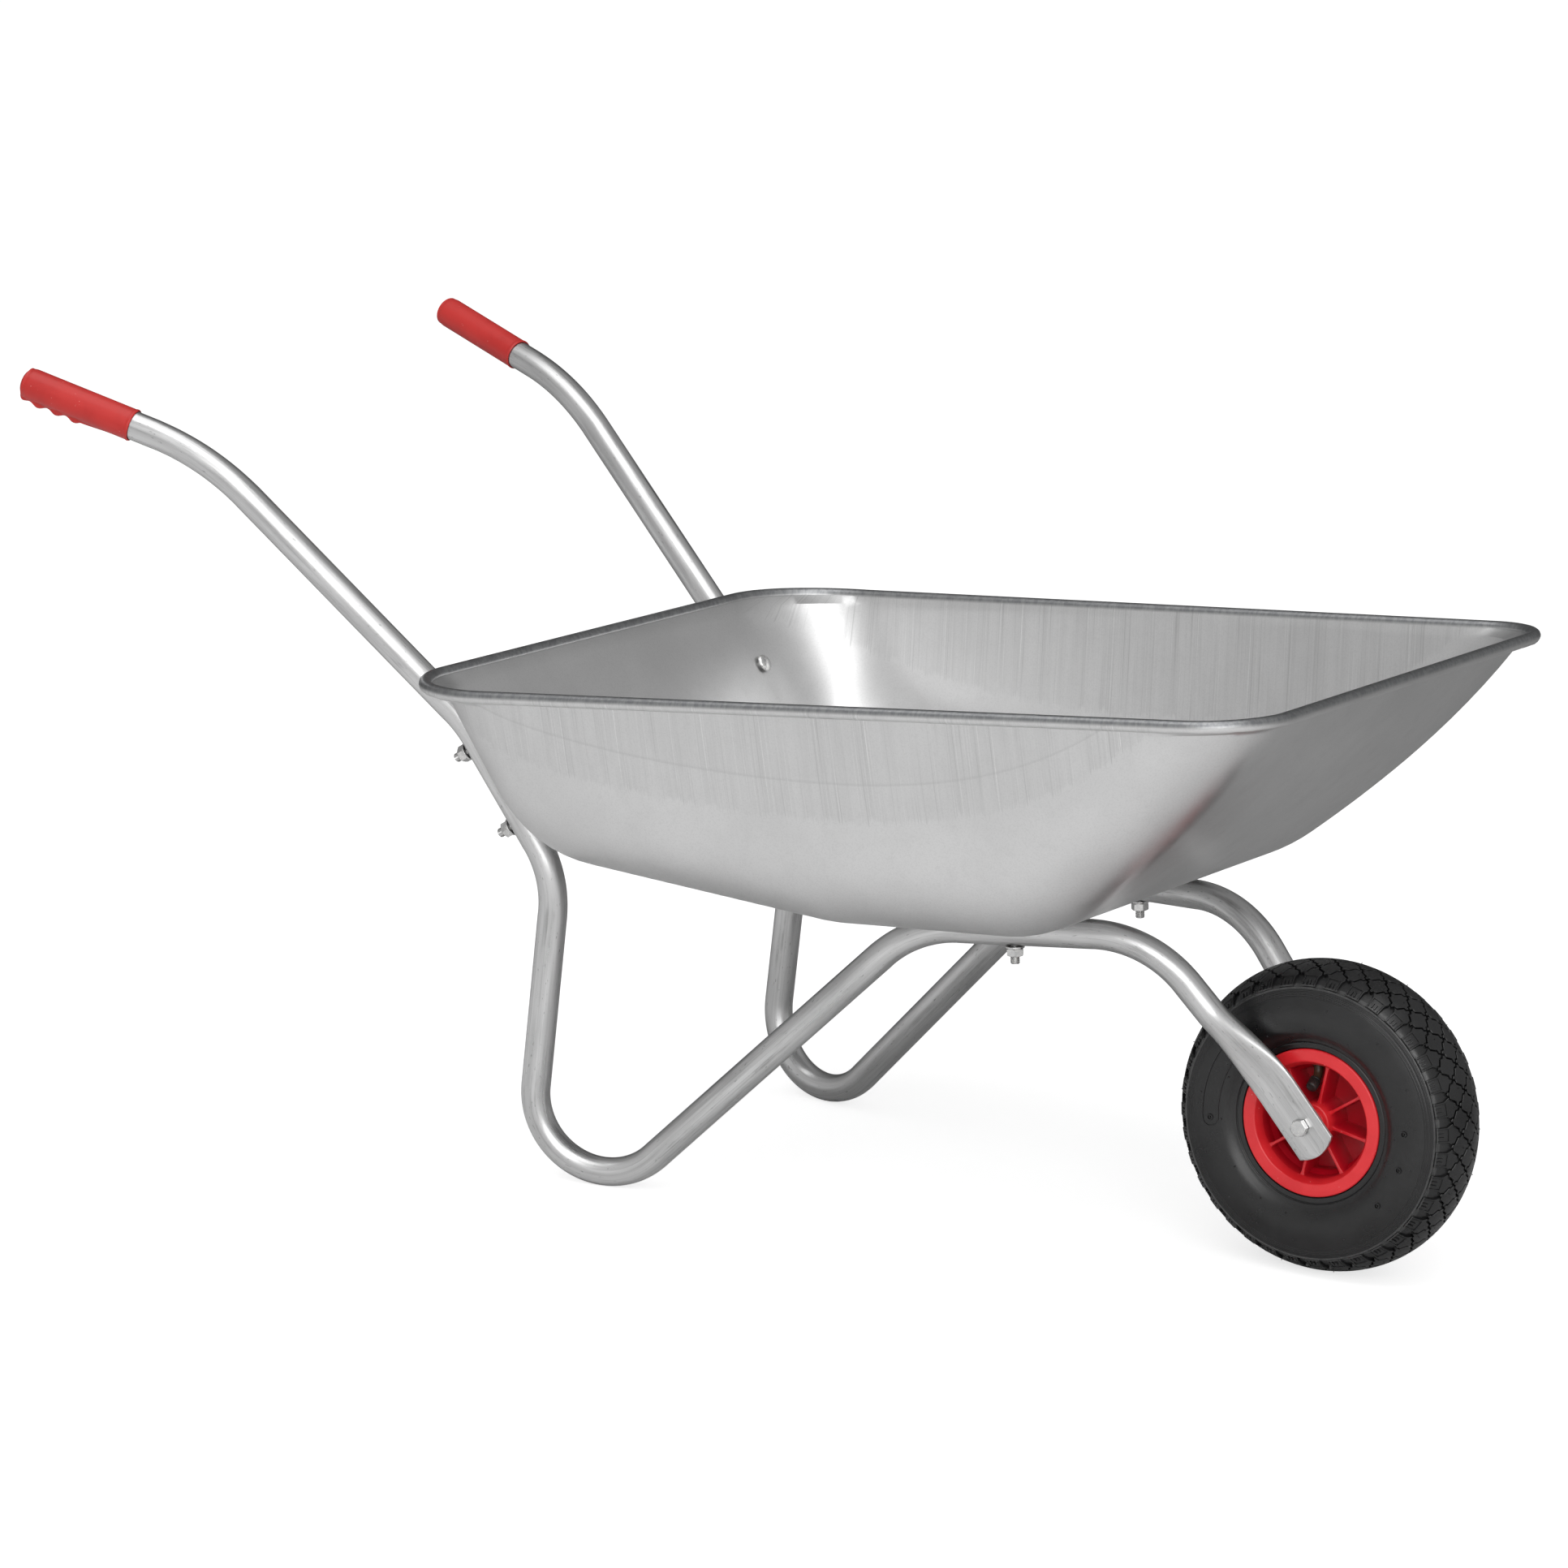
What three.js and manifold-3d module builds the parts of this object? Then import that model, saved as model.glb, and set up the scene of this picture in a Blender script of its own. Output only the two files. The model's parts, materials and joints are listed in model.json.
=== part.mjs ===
// Garden wheelbarrow: pressed steel tray on two bent tubes that are handles, legs and wheel fork in one,
// with a pneumatic tyre on a moulded hub. Millimetres, +X forward (wheel end), +Y left, +Z up.
// The driving dimensions count x from the wheel axle; the finished group is moved forward by AXLE_X,
// so that the origin is under the middle of the whole barrow.
import * as THREE from 'three';
import { mergeVertices } from 'three/addons/utils/BufferGeometryUtils.js';
import Module from 'manifold-3d';

const wasm = await Module();
wasm.setup();

const GAP = 0.3;              // clearance between pieces that touch
const AXLE_X = 493.8;         // axle, forward of the origin
const AXLE_Z = 130;           // axle height, which is the tyre's radius

// frame tubes: each is bent in one upright plane that splays outwards towards the handles
const TUBE_R = 12.5;
const TUBE_WALL = 1.5;
const TUBE_SIDES = 10;
const BORE_SIDES = 8;
const TUBE_Y_AT_AXLE = 46.4;  // offset of the tube's plane from the middle, at the axle on the ground
const TUBE_SPLAY = 0.22674;   // radians, the plane's turn away from straight ahead
const TUBE_LEAN = 0.0197;     // the plane's outward lean, sideways per unit of height
const BEND_STEP = 0.26;       // radians of bend between two stations
// corners of the tube's centre line in its plane: t runs forward from the axle, z is height
const FRAME_CORNERS = [
  { t: -1133.5, z: 634.0, bend: 0 },    // end inside the grip
  { t: -973.3, z: 589.0, bend: 230 },   // handle
  { t: -733.1, z: 384.8, bend: 130 },   // top of the tray's rear wall
  { t: -650.5, z: 262.5, bend: 98 },    // bottom of the rear wall, start of the leg
  { t: -674.7, z: -92.6, bend: 63 },    // foot
  { t: -335.6, z: 257.8, bend: 105 },   // start of the rest under the tray
  { t: -136.2, z: 273.1, bend: 103 },   // start of the fork
  { t: -27.5, z: 158.9, bend: 0 },      // crease of the flattened end
];
const GRIP_MOUTH = { t: -1040.8, z: 608.0 };
const CRUSH_LENGTH = 75;      // over this length the fork goes from round to flat
const PLATE_Y = 49.5;         // middle of the flattened end
const PLATE_WIDTH = 37.4;
const PLATE_THICK = 4.2;
const PLATE_PAST_AXLE = 27.5;
const PLATE_END_R = 30;

// tray: an upper edge that rises forward, and walls given by one point and the slope of each
const RIM_Z_AT_AXLE = 496.9;
const RIM_RISE = 0.1019;
const RIM_LIFT_FROM = -634;   // behind this the edge curves up a little
const RIM_LIFT = 4.43e-4;
const RIM_HALF_WIDTH_AT_AXLE = 281.65;
const RIM_TAPER = 0.049;
const BEAD_R = 5.4;           // rolled edge
const BEAD_REAR_X = -734;
const BEAD_FRONT_X = 46;
const BEAD_REAR_CORNER_R = 88;
const BEAD_FRONT_CORNER_R = 58;
const SHEET = 1.0;
const WALLS = [
  { x: -703.5, z: 392.0, slope: -1.5193 },  // rear wall, which lies on the tubes
  { x: -600, z: 284.8, slope: -0.0675 },    // rear of the floor
  { x: -132.7, z: 286.1, slope: 0.0787 },   // front of the floor, which lies on the tubes
  { x: 41, z: 500, slope: 1.0593 },         // front wall
];
const WALL_BLENDS = [102, 140, 105];        // rounding between one wall and the next
const FRONT_WALL_CROWN = 11.5;
const SIDE_WALL_INSET = 5;
const SIDE_WALL_DRAFT = 0.2;
const SIDE_WALL_CROWN = 3;
const TRAY_DEPTH = 210;
const FLOOR_EDGE_R = 65;
const REAR_CORNER_R = 90;
const FRONT_CORNER_R = 62;
const TRAY_CENTRE_X = -330;
const TRAY_SECTORS = 48;
const TRAY_RINGS = 8;
const BEAD_POINTS = 5;

// fasteners: M8 round-head bolts through tray and tube
const BOLT_R = 4;
const BOLT_HOLE_R = 4.6;
const BOLT_HEAD_R = 8;
const BOLT_HEAD_H = 4.2;
const BOLT_STUD = 6.5;
const NUT_ACROSS = 13;
const NUT_H = 6.5;
const WASHER_R = 8;
const WASHER_H = 1.6;
const HOLE_SIDES = 10;
const TRAY_BOLTS = [
  { name: 'rear_upper', t: -721.7, z: 367.9, wall: 0 },
  { name: 'rear_lower', t: -681.0, z: 307.7, wall: 0 },
  { name: 'front', t: -249.9, z: 264.4, wall: 2 },
];

// wheel
const TYRE_R = 130;
const TYRE_HALF_WIDTH = 42.5;
const WHEEL_SEGMENTS = 32;
const TURNED_SIDES = 16;        // small turned pieces on the axle, and the grips
const FLANGE_R = 61.7;
const FLANGE_Y = 34.9;
const FLANGE_THICK = 3.6;
const SEAT_R = 50.8;
const WELL_R = 46;
const BARREL_WALL = 3;
const WEB_HALF = 2;
const BOSS_R = 16;
const BOSS_Y = 34;
const RIB_COUNT = 8;
const RIB_THICK = 3;
const RIB_Y = 27;
const RIB_PHASE = 80 * Math.PI / 180;
const VALVE_ANGLE = 98 * Math.PI / 180;
const VALVE_Y = 13;
const SLEEVE_R = 6;
const BUSH_R = 9.5;
const BUSH_FLANGE_R = 13;
const BUSH_FLANGE = 2;
const AXLE_HEAD_H = 5.5;

const GRIP_R = 14.0;
const GRIP_BORE_R = 13.1;
const GRIP_LENGTH = 106;
const GRIP_RIDGES = 5;
const GRIP_RIDGE_PITCH = 18;
const GRIP_RIDGE_H = 2.6;
const GRIP_RIDGE_W = 12;

const FINISHES = {
  tray_steel: { color: 0xb9bbbc, roughness: 0.38, metalness: 0.9 },
  tube_steel: { color: 0xb4b6b6, roughness: 0.35, metalness: 0.9 },
  zinc: { color: 0xc9cbcc, roughness: 0.28, metalness: 0.95 },
  grip_plastic: { color: 0xcc3e39, roughness: 0.5, metalness: 0 },
  hub_plastic: { color: 0xde3438, roughness: 0.32, metalness: 0 },
  tyre_rubber: { color: 0x2b2b2c, roughness: 0.62, metalness: 0 },
  rubber: { color: 0x1d1d1e, roughness: 0.55, metalness: 0 },
  nylon: { color: 0xd8d6cf, roughness: 0.5, metalness: 0 },
};

const group = new THREE.Group();
group.position.set(AXLE_X, 0, 0);

function add(name, geometry, finish, parent = group) {
  const mesh = new THREE.Mesh(geometry, new THREE.MeshStandardMaterial(FINISHES[finish]));
  mesh.name = name;
  parent.add(mesh);
  return mesh;
}

// ---- solids ---------------------------------------------------------------------------------

function signedVolume(position, index) {
  const [a, b, c] = [new THREE.Vector3(), new THREE.Vector3(), new THREE.Vector3()];
  let volume = 0;
  for (let i = 0; i < index.length; i += 3) {
    a.fromBufferAttribute(position, index[i]);
    b.fromBufferAttribute(position, index[i + 1]);
    c.fromBufferAttribute(position, index[i + 2]);
    volume += a.dot(b.cross(c)) / 6;
  }
  return volume;
}

// One closed body: shared vertices merged, collapsed triangles dropped, faces pointing out.
function closed(geometry) {
  const bare = geometry.clone();
  for (const name of Object.keys(bare.attributes)) {
    if (name !== 'position') bare.deleteAttribute(name);
  }
  bare.clearGroups();
  const merged = mergeVertices(bare, 1e-4);
  const source = merged.index.array;
  const index = [];
  for (let i = 0; i < source.length; i += 3) {
    const [a, b, c] = [source[i], source[i + 1], source[i + 2]];
    if (a !== b && b !== c && c !== a) index.push(a, b, c);
  }
  if (signedVolume(merged.attributes.position, index) < 0) index.reverse();
  merged.setIndex(index);
  merged.computeVertexNormals();
  return merged;
}

function toManifold(geometry) {
  const solid = closed(geometry);
  const vertProperties = new Float32Array(solid.attributes.position.array);
  const triVerts = new Uint32Array(solid.index.array);
  return new wasm.Manifold(new wasm.Mesh({ numProp: 3, vertProperties, triVerts }));
}

function toGeometry(manifold) {
  const mesh = manifold.getMesh();
  const geometry = new THREE.BufferGeometry();
  geometry.setAttribute('position', new THREE.BufferAttribute(new Float32Array(mesh.vertProperties), 3));
  geometry.setIndex(Array.from(mesh.triVerts));
  return closed(geometry);
}

function combine(joined, removed = []) {
  let solid = toManifold(joined[0]);
  for (const geometry of joined.slice(1)) solid = solid.add(toManifold(geometry));
  for (const geometry of removed) solid = solid.subtract(toManifold(geometry));
  return toGeometry(solid);
}

// The mirror image across the barrow's middle plane.
function mirrored(geometry) {
  const copy = geometry.clone();
  copy.scale(1, -1, 1);
  copy.setIndex(Array.from(copy.index.array).reverse());
  return copy;
}

function polygon(sides, across, phase = 0) {
  const points = [];
  for (let i = 0; i < sides; i += 1) {
    const angle = phase + 2 * Math.PI * i / sides;
    points.push(new THREE.Vector2(across * Math.cos(angle), across * Math.sin(angle)));
  }
  return points;
}

// A round bar along +Z from z0 to z1.
function bar(radius, z0, z1, sides = HOLE_SIDES) {
  const geometry = new THREE.ExtrudeGeometry(new THREE.Shape(polygon(sides, radius)), {
    depth: z1 - z0,
    bevelEnabled: false,
  });
  return geometry.translate(0, 0, z0);
}

// A flat ring or nut along +Z from z0 to z1.
function ring(outline, holeRadius, z0, z1) {
  const shape = new THREE.Shape(outline);
  shape.holes.push(new THREE.Path(polygon(HOLE_SIDES, holeRadius)));
  const geometry = new THREE.ExtrudeGeometry(shape, { depth: z1 - z0, bevelEnabled: false });
  return closed(geometry.translate(0, 0, z0));
}

function lathe(profile, segments) {
  return closed(new THREE.LatheGeometry(profile.map(([r, y]) => new THREE.Vector2(r, y)), segments));
}

function aim(direction) {
  return new THREE.Quaternion().setFromUnitVectors(new THREE.Vector3(0, 0, 1), direction);
}

// ---- tray -----------------------------------------------------------------------------------

function rimZ(x) {
  return RIM_Z_AT_AXLE + RIM_RISE * x + RIM_LIFT * Math.max(0, RIM_LIFT_FROM - x) ** 2;
}

function rimHalfWidth(x) {
  return RIM_HALF_WIDTH_AT_AXLE - RIM_TAPER * x;
}

function smoothMin(a, b, width) {
  const h = Math.max(width - Math.abs(a - b), 0) / width;
  return Math.min(a, b) - h * h * width / 4;
}

// Distance inside the chain of rear wall, floor and front wall.
function insideWalls(x, z) {
  let result = Infinity;
  WALLS.forEach((wall, i) => {
    const scale = Math.hypot(1, wall.slope);
    let distance = (z - wall.z - wall.slope * (x - wall.x)) / scale;
    if (i === WALLS.length - 1) {
      const fall = THREE.MathUtils.clamp((wall.z - z) / TRAY_DEPTH, 0, 1);
      distance += FRONT_WALL_CROWN * 4 * fall * (1 - fall);
    }
    if (i === 0) {
      result = distance;
      return;
    }
    const turn = Math.atan(wall.slope) - Math.atan(WALLS[i - 1].slope);
    result = smoothMin(result, distance, 4 * WALL_BLENDS[i - 1] * (1 - Math.cos(turn / 2)));
  });
  return result;
}

// Positive inside the tray's outer surface: the wall chain and the side walls meet in rounded edges.
function insideTray(x, y, z) {
  const walls = insideWalls(x, z);
  const depth = rimZ(x) - z;
  const fall = THREE.MathUtils.clamp(depth / TRAY_DEPTH, 0, 1);
  const half = rimHalfWidth(x) - SIDE_WALL_INSET - SIDE_WALL_DRAFT * depth
    + SIDE_WALL_CROWN * 4 * fall * (1 - fall);
  const sides = (half - Math.abs(y)) / Math.hypot(1, SIDE_WALL_DRAFT);
  const corner = THREE.MathUtils.mapLinear(
    THREE.MathUtils.clamp(x, -650, -50), -650, -50, REAR_CORNER_R, FRONT_CORNER_R);
  const up = THREE.MathUtils.clamp((z - 265) / 150, 0, 1);
  const radius = THREE.MathUtils.lerp(FLOOR_EDGE_R, corner, up);
  if (walls < 0 || sides < 0) return Math.min(walls, sides);
  if (walls >= radius && sides >= radius) return radius;
  return radius - Math.hypot(Math.max(radius - walls, 0), Math.max(radius - sides, 0));
}

// Where a ray from above the floor meets a surface that is `inset` inside the tray's outer surface.
function trayPoint(around, down, inset) {
  const forward = Math.cos(around) * Math.cos(down);
  const side = Math.sin(around) * Math.cos(down);
  const rise = RIM_RISE * forward - Math.sin(down);
  const topZ = RIM_Z_AT_AXLE + RIM_RISE * TRAY_CENTRE_X;
  const lifted = Math.cos(down) ** 2;
  const at = (reach) => {
    const x = TRAY_CENTRE_X + forward * reach;
    const lift = RIM_LIFT * Math.max(0, RIM_LIFT_FROM - x) ** 2 * lifted;
    return new THREE.Vector3(x, side * reach, topZ + rise * reach + lift);
  };
  let near = 0;
  let far = 900;
  for (let i = 0; i < 40; i += 1) {
    const middle = (near + far) / 2;
    const point = at(middle);
    if (insideTray(point.x, point.y, point.z) > inset) near = middle;
    else far = middle;
  }
  return at(near);
}

// Where the same ray's bearing meets the middle of the rolled edge.
function beadPoint(around) {
  let near = 0;
  let far = 900;
  for (let i = 0; i < 40; i += 1) {
    const middle = (near + far) / 2;
    const x = TRAY_CENTRE_X + middle * Math.cos(around);
    const rear = x < TRAY_CENTRE_X;
    const end = rear ? x - BEAD_REAR_X : BEAD_FRONT_X - x;
    const side = rimHalfWidth(x) - Math.abs(middle * Math.sin(around));
    const radius = rear ? BEAD_REAR_CORNER_R : BEAD_FRONT_CORNER_R;
    const inside = radius - Math.hypot(Math.max(radius - end, 0), Math.max(radius - side, 0));
    if (end > 0 && side > 0 && inside > 0) near = middle;
    else far = middle;
  }
  const x = TRAY_CENTRE_X + near * Math.cos(around);
  return new THREE.Vector3(x, near * Math.sin(around), rimZ(x));
}

// A closed body through rings of points, with a fan over the first and the last ring. `leans` says
// which way the quad after ring j and point i is divided.
function loft(rings, leans = () => false) {
  const count = rings[0].length;
  const middle = (points) => points.reduce((sum, p) => sum.add(p), new THREE.Vector3())
    .divideScalar(count);
  const vertices = [...rings.flat(), middle(rings[0]), middle(rings.at(-1))];
  const index = [];
  for (let j = 0; j < rings.length - 1; j += 1) {
    for (let i = 0; i < count; i += 1) {
      const next = (i + 1) % count;
      const [a, b] = [j * count + i, j * count + next];
      if (leans(j, i)) index.push(a, b, a + count, b, b + count, a + count);
      else index.push(a, b, b + count, a, b + count, a + count);
    }
  }
  const last = (rings.length - 1) * count;
  for (let i = 0; i < count; i += 1) {
    const next = (i + 1) % count;
    index.push(rings.length * count, next, i);
    index.push(rings.length * count + 1, last + i, last + next);
  }
  const geometry = new THREE.BufferGeometry().setFromPoints(vertices);
  geometry.setIndex(index);
  return closed(geometry);
}

function trayShell() {
  const bearings = Array.from({ length: TRAY_SECTORS }, (_, i) => 2 * Math.PI * i / TRAY_SECTORS);
  const wallRing = (down, inset) => bearings.map((around) => trayPoint(around, down, inset));
  const firstFall = 0.014;
  const falls = Array.from({ length: TRAY_RINGS }, (_, j) =>
    firstFall + (Math.PI / 2 - 0.12 - firstFall) * j / (TRAY_RINGS - 1));
  const inner = falls.map((down) => wallRing(down, SHEET)).reverse();
  const outer = falls.map((down) => wallRing(down + (down === firstFall ? 0.008 : 0), 0));
  const centres = bearings.map(beadPoint);
  const bead = Array.from({ length: BEAD_POINTS }, (_, k) => {
    const angle = THREE.MathUtils.degToRad(180 - 310 * k / (BEAD_POINTS - 1));
    return centres.map((centre, i) => {
      const before = centres[(i + centres.length - 1) % centres.length];
      const after = centres[(i + 1) % centres.length];
      const outward = new THREE.Vector3(after.y - before.y, before.x - after.x, 0).normalize();
      return centre.clone().addScaledVector(outward, BEAD_R * Math.cos(angle))
        .add(new THREE.Vector3(0, 0, BEAD_R * Math.sin(angle)));
    });
  });
  // Both sides of the sheet are divided alike, so that it is as thick everywhere, and left mirrors right.
  const turn = inner.length + bead.length / 2;
  const half = TRAY_SECTORS / 2;
  return loft([...inner, ...bead, ...outer], (j, i) => (j > turn) !== (i >= half));
}

// ---- frame tubes ----------------------------------------------------------------------------

// Stations along a chain of corners, each corner rounded to its bend radius.
function bentStations(corners) {
  const points = corners.map((corner) => new THREE.Vector2(corner.t, corner.z));
  const stations = [];
  for (let i = 0; i < points.length; i += 1) {
    const before = i > 0 ? points[i].clone().sub(points[i - 1]).normalize() : null;
    const after = i < points.length - 1 ? points[i + 1].clone().sub(points[i]).normalize() : null;
    if (!before || !after) {
      stations.push({ point: points[i], tangent: before ?? after });
      continue;
    }
    const turn = Math.acos(before.dot(after));
    const sense = Math.sign(before.cross(after));
    const radius = corners[i].bend;
    const start = points[i].clone().addScaledVector(before, -radius * Math.tan(turn / 2));
    const centre = start.clone().add(new THREE.Vector2(-before.y, before.x).multiplyScalar(sense * radius));
    const steps = Math.ceil(turn / BEND_STEP);
    for (let k = 0; k <= steps; k += 1) {
      const angle = sense * turn * k / steps;
      const point = start.clone().rotateAround(centre, angle);
      stations.push({ point, tangent: before.clone().rotateAround(new THREE.Vector2(), angle) });
    }
  }
  return stations;
}

class StationCurve extends THREE.Curve {
  constructor(stations) {
    super();
    this.stations = stations;
  }

  getUtoTmapping(u) {
    return u;
  }

  getPoint(s, target = new THREE.Vector3()) {
    const last = this.stations.length - 1;
    const { point } = this.stations[Math.round(s * last)];
    return target.set(point.x, 0, point.y);
  }

  getTangent(s, target = new THREE.Vector3()) {
    const last = this.stations.length - 1;
    const { tangent } = this.stations[Math.round(s * last)];
    return target.set(tangent.x, 0, tangent.y);
  }
}

// A round section swept along stations, in the tube's own plane (x is t, y is sideways, z is height).
function sweep(stations, radius, sides) {
  return new THREE.ExtrudeGeometry(new THREE.Shape(polygon(sides, radius)), {
    steps: stations.length - 1,
    extrudePath: new StationCurve(stations),
    bevelEnabled: false,
  });
}

// From the tube's plane to its place on the left of the barrow.
function placeInPlane(t, sideways, z) {
  const x = t * Math.cos(TUBE_SPLAY) + sideways * Math.sin(TUBE_SPLAY);
  const y = TUBE_Y_AT_AXLE - t * Math.sin(TUBE_SPLAY) + TUBE_LEAN * z + sideways * Math.cos(TUBE_SPLAY);
  return new THREE.Vector3(x, y, z);
}

// Puts a swept tube in its place and flattens its fork end into line with the wheel.
function placeTube(geometry) {
  const crease = FRAME_CORNERS.at(-1);
  const start = FRAME_CORNERS.at(-2);
  const along = new THREE.Vector2(crease.t - start.t, crease.z - start.z).normalize();
  const position = geometry.attributes.position;
  for (let i = 0; i < position.count; i += 1) {
    const offset = new THREE.Vector2(position.getX(i) - crease.t, position.getZ(i) - crease.z);
    const distance = offset.dot(along);
    const across = offset.x * along.y - offset.y * along.x;
    const crush = THREE.MathUtils.clamp(1 + distance / CRUSH_LENGTH, 0, 1);
    const isFork = distance > -CRUSH_LENGTH && Math.abs(across) < 2 * TUBE_R;
    const flat = isFork ? THREE.MathUtils.smoothstep(crush, 0, 1) : 0;
    const widen = THREE.MathUtils.lerp(1, PLATE_WIDTH / (2 * TUBE_R), flat);
    const squash = THREE.MathUtils.lerp(1, PLATE_THICK / (2 * TUBE_R), flat);
    const turn = isFork ? crush : 0;
    const t = crease.t + along.x * distance + along.y * across * widen;
    const z = crease.z + along.y * distance - along.x * across * widen;
    const sideways = position.getY(i) * squash;
    const round = placeInPlane(t, sideways, z);
    const plate = new THREE.Vector3(t * Math.cos(TUBE_SPLAY), PLATE_Y + sideways, z);
    round.lerp(plate, turn);
    position.setXYZ(i, round.x, round.y, round.z);
  }
  return geometry;
}

// Stations of the fork's straight, added where it is being flattened.
function withCrushStations(stations) {
  const last = stations.at(-1);
  const extra = [1, 0.8, 0.6, 0.4, 0.2].map((share) => ({
    point: last.point.clone().addScaledVector(last.tangent, -share * CRUSH_LENGTH),
    tangent: last.tangent,
  }));
  return [...stations.slice(0, -1), ...extra, last];
}

function forkPlate() {
  const half = PLATE_WIDTH / 2;
  const crease = FRAME_CORNERS.at(-1);
  const creaseX = crease.t * Math.cos(TUBE_SPLAY);
  const back = Math.hypot(creaseX, crease.z - AXLE_Z) + 3;
  const centre = PLATE_PAST_AXLE - PLATE_END_R;
  const corner = Math.asin(half / PLATE_END_R);
  const shape = new THREE.Shape([new THREE.Vector2(-back, half), new THREE.Vector2(-back, -half)]);
  for (let k = 0; k <= 8; k += 1) {
    const angle = -corner + 2 * corner * k / 8;
    shape.lineTo(centre + PLATE_END_R * Math.cos(angle), PLATE_END_R * Math.sin(angle));
  }
  shape.holes.push(new THREE.Path(polygon(HOLE_SIDES, BOLT_HOLE_R)));
  const geometry = new THREE.ExtrudeGeometry(shape, { depth: PLATE_THICK, bevelEnabled: false });
  geometry.translate(0, 0, -PLATE_THICK / 2);
  geometry.rotateX(Math.PI / 2);
  geometry.rotateY(Math.atan2(crease.z - AXLE_Z, -creaseX));
  return geometry.translate(0, PLATE_Y, AXLE_Z);
}

function wallNormal(wall) {
  return new THREE.Vector3(-WALLS[wall].slope, 0, 1).normalize();
}

// A geometry along +Z moved to a tray bolt's axis, with z counted from the tube's middle.
function onBolt(geometry, bolt) {
  const centre = placeInPlane(bolt.t, 0, bolt.z);
  return geometry.applyQuaternion(aim(wallNormal(bolt.wall))).translate(centre.x, centre.y, centre.z);
}

function frameTube() {
  const stations = withCrushStations(bentStations(FRAME_CORNERS));
  const outer = placeTube(sweep(stations, TUBE_R, TUBE_SIDES));
  const boreStations = bentStations(FRAME_CORNERS);
  const end = boreStations.at(-1);
  end.point = end.point.clone().addScaledVector(end.tangent, -CRUSH_LENGTH - 10);
  const first = boreStations[0];
  first.point = first.point.clone().addScaledVector(first.tangent, -5);
  const bore = placeTube(sweep(boreStations, TUBE_R - TUBE_WALL, BORE_SIDES));
  const holes = TRAY_BOLTS.map((bolt) => onBolt(bar(BOLT_HOLE_R, -20, 20), bolt));
  return combine([outer, forkPlate()], [bore, ...holes]);
}

function grip() {
  const sleeve = lathe([
    [0, GRIP_LENGTH], [GRIP_R - 5, GRIP_LENGTH], [GRIP_R - 1.5, GRIP_LENGTH - 1.5],
    [GRIP_R, GRIP_LENGTH - 5], [GRIP_R, 0], [GRIP_BORE_R, 0], [GRIP_BORE_R, GRIP_LENGTH - 3],
    [0, GRIP_LENGTH - 3],
  ], TURNED_SIDES);
  const ridge = new THREE.Shape();
  const steps = GRIP_RIDGES * 4;
  const length = GRIP_RIDGES * GRIP_RIDGE_PITCH;
  ridge.moveTo(GRIP_LENGTH - length, 0);
  for (let k = 0; k <= steps; k += 1) {
    const wave = (1 - Math.cos(2 * Math.PI * k / 4)) / 2;
    ridge.lineTo(GRIP_LENGTH - length + (length - 1) * k / steps, 1.2 + GRIP_RIDGE_H * wave);
  }
  ridge.lineTo(GRIP_LENGTH - 1, 0);
  const bumps = new THREE.ExtrudeGeometry(ridge, { depth: GRIP_RIDGE_W, bevelEnabled: false });
  bumps.translate(0, GRIP_R - 1, -GRIP_RIDGE_W / 2);
  bumps.rotateZ(Math.PI / 2).rotateY(-Math.PI / 2);
  return { sleeve, bumps };
}

function placedGrip() {
  const end = FRAME_CORNERS[0];
  const mouth = placeInPlane(GRIP_MOUTH.t, 0, GRIP_MOUTH.z);
  const axis = placeInPlane(end.t, 0, end.z).sub(mouth).normalize();
  const up = new THREE.Vector3(0, 0, 1).addScaledVector(axis, -axis.z).normalize();
  const basis = new THREE.Matrix4().makeBasis(up.clone().cross(axis).negate(), axis, up);
  basis.setPosition(mouth);
  const { sleeve, bumps } = grip();
  const hollow = lathe([[0, -1], [GRIP_BORE_R, -1], [GRIP_BORE_R, GRIP_LENGTH - 3],
    [0, GRIP_LENGTH - 3]], TURNED_SIDES);
  return combine([sleeve, bumps], [hollow]).applyMatrix4(basis);
}

// ---- assembly: frame, tray and fasteners ----------------------------------------------------

const leftTube = frameTube();
add('frame_tube_left', leftTube, 'tube_steel');
add('frame_tube_right', mirrored(leftTube), 'tube_steel');

const leftGrip = placedGrip();
add('grip_left', leftGrip, 'grip_plastic');
add('grip_right', mirrored(leftGrip), 'grip_plastic');

const trayTop = TUBE_R + 0.4 + SHEET;     // inner face of the sheet, from the tube's middle
const headSeat = trayTop + GAP;
const boltHoles = TRAY_BOLTS.flatMap((bolt) => {
  const hole = combine([
    onBolt(bar(BOLT_HOLE_R, -2, 24), bolt),
    onBolt(bar(BOLT_HEAD_R + 0.7, headSeat - 0.2, 24), bolt),
  ]);
  return [hole, mirrored(hole)];
});
add('tray', combine([trayShell()], boltHoles), 'tray_steel');

const washerTop = -TUBE_R - GAP;
const nutTop = washerTop - WASHER_H - GAP;
const studEnd = nutTop - NUT_H - BOLT_STUD;
const hexagon = polygon(6, NUT_ACROSS / Math.sqrt(3));

function roundHeadBolt() {
  const r = BOLT_HEAD_R;
  const profile = [[0, studEnd], [BOLT_R, studEnd], [BOLT_R, headSeat], [r, headSeat],
    [r, headSeat + 1], [0.75 * r, headSeat + 0.75 * BOLT_HEAD_H], [0.35 * r, headSeat + 0.97 * BOLT_HEAD_H],
    [0, headSeat + BOLT_HEAD_H]];
  return lathe(profile, HOLE_SIDES).rotateX(Math.PI / 2);
}

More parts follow.
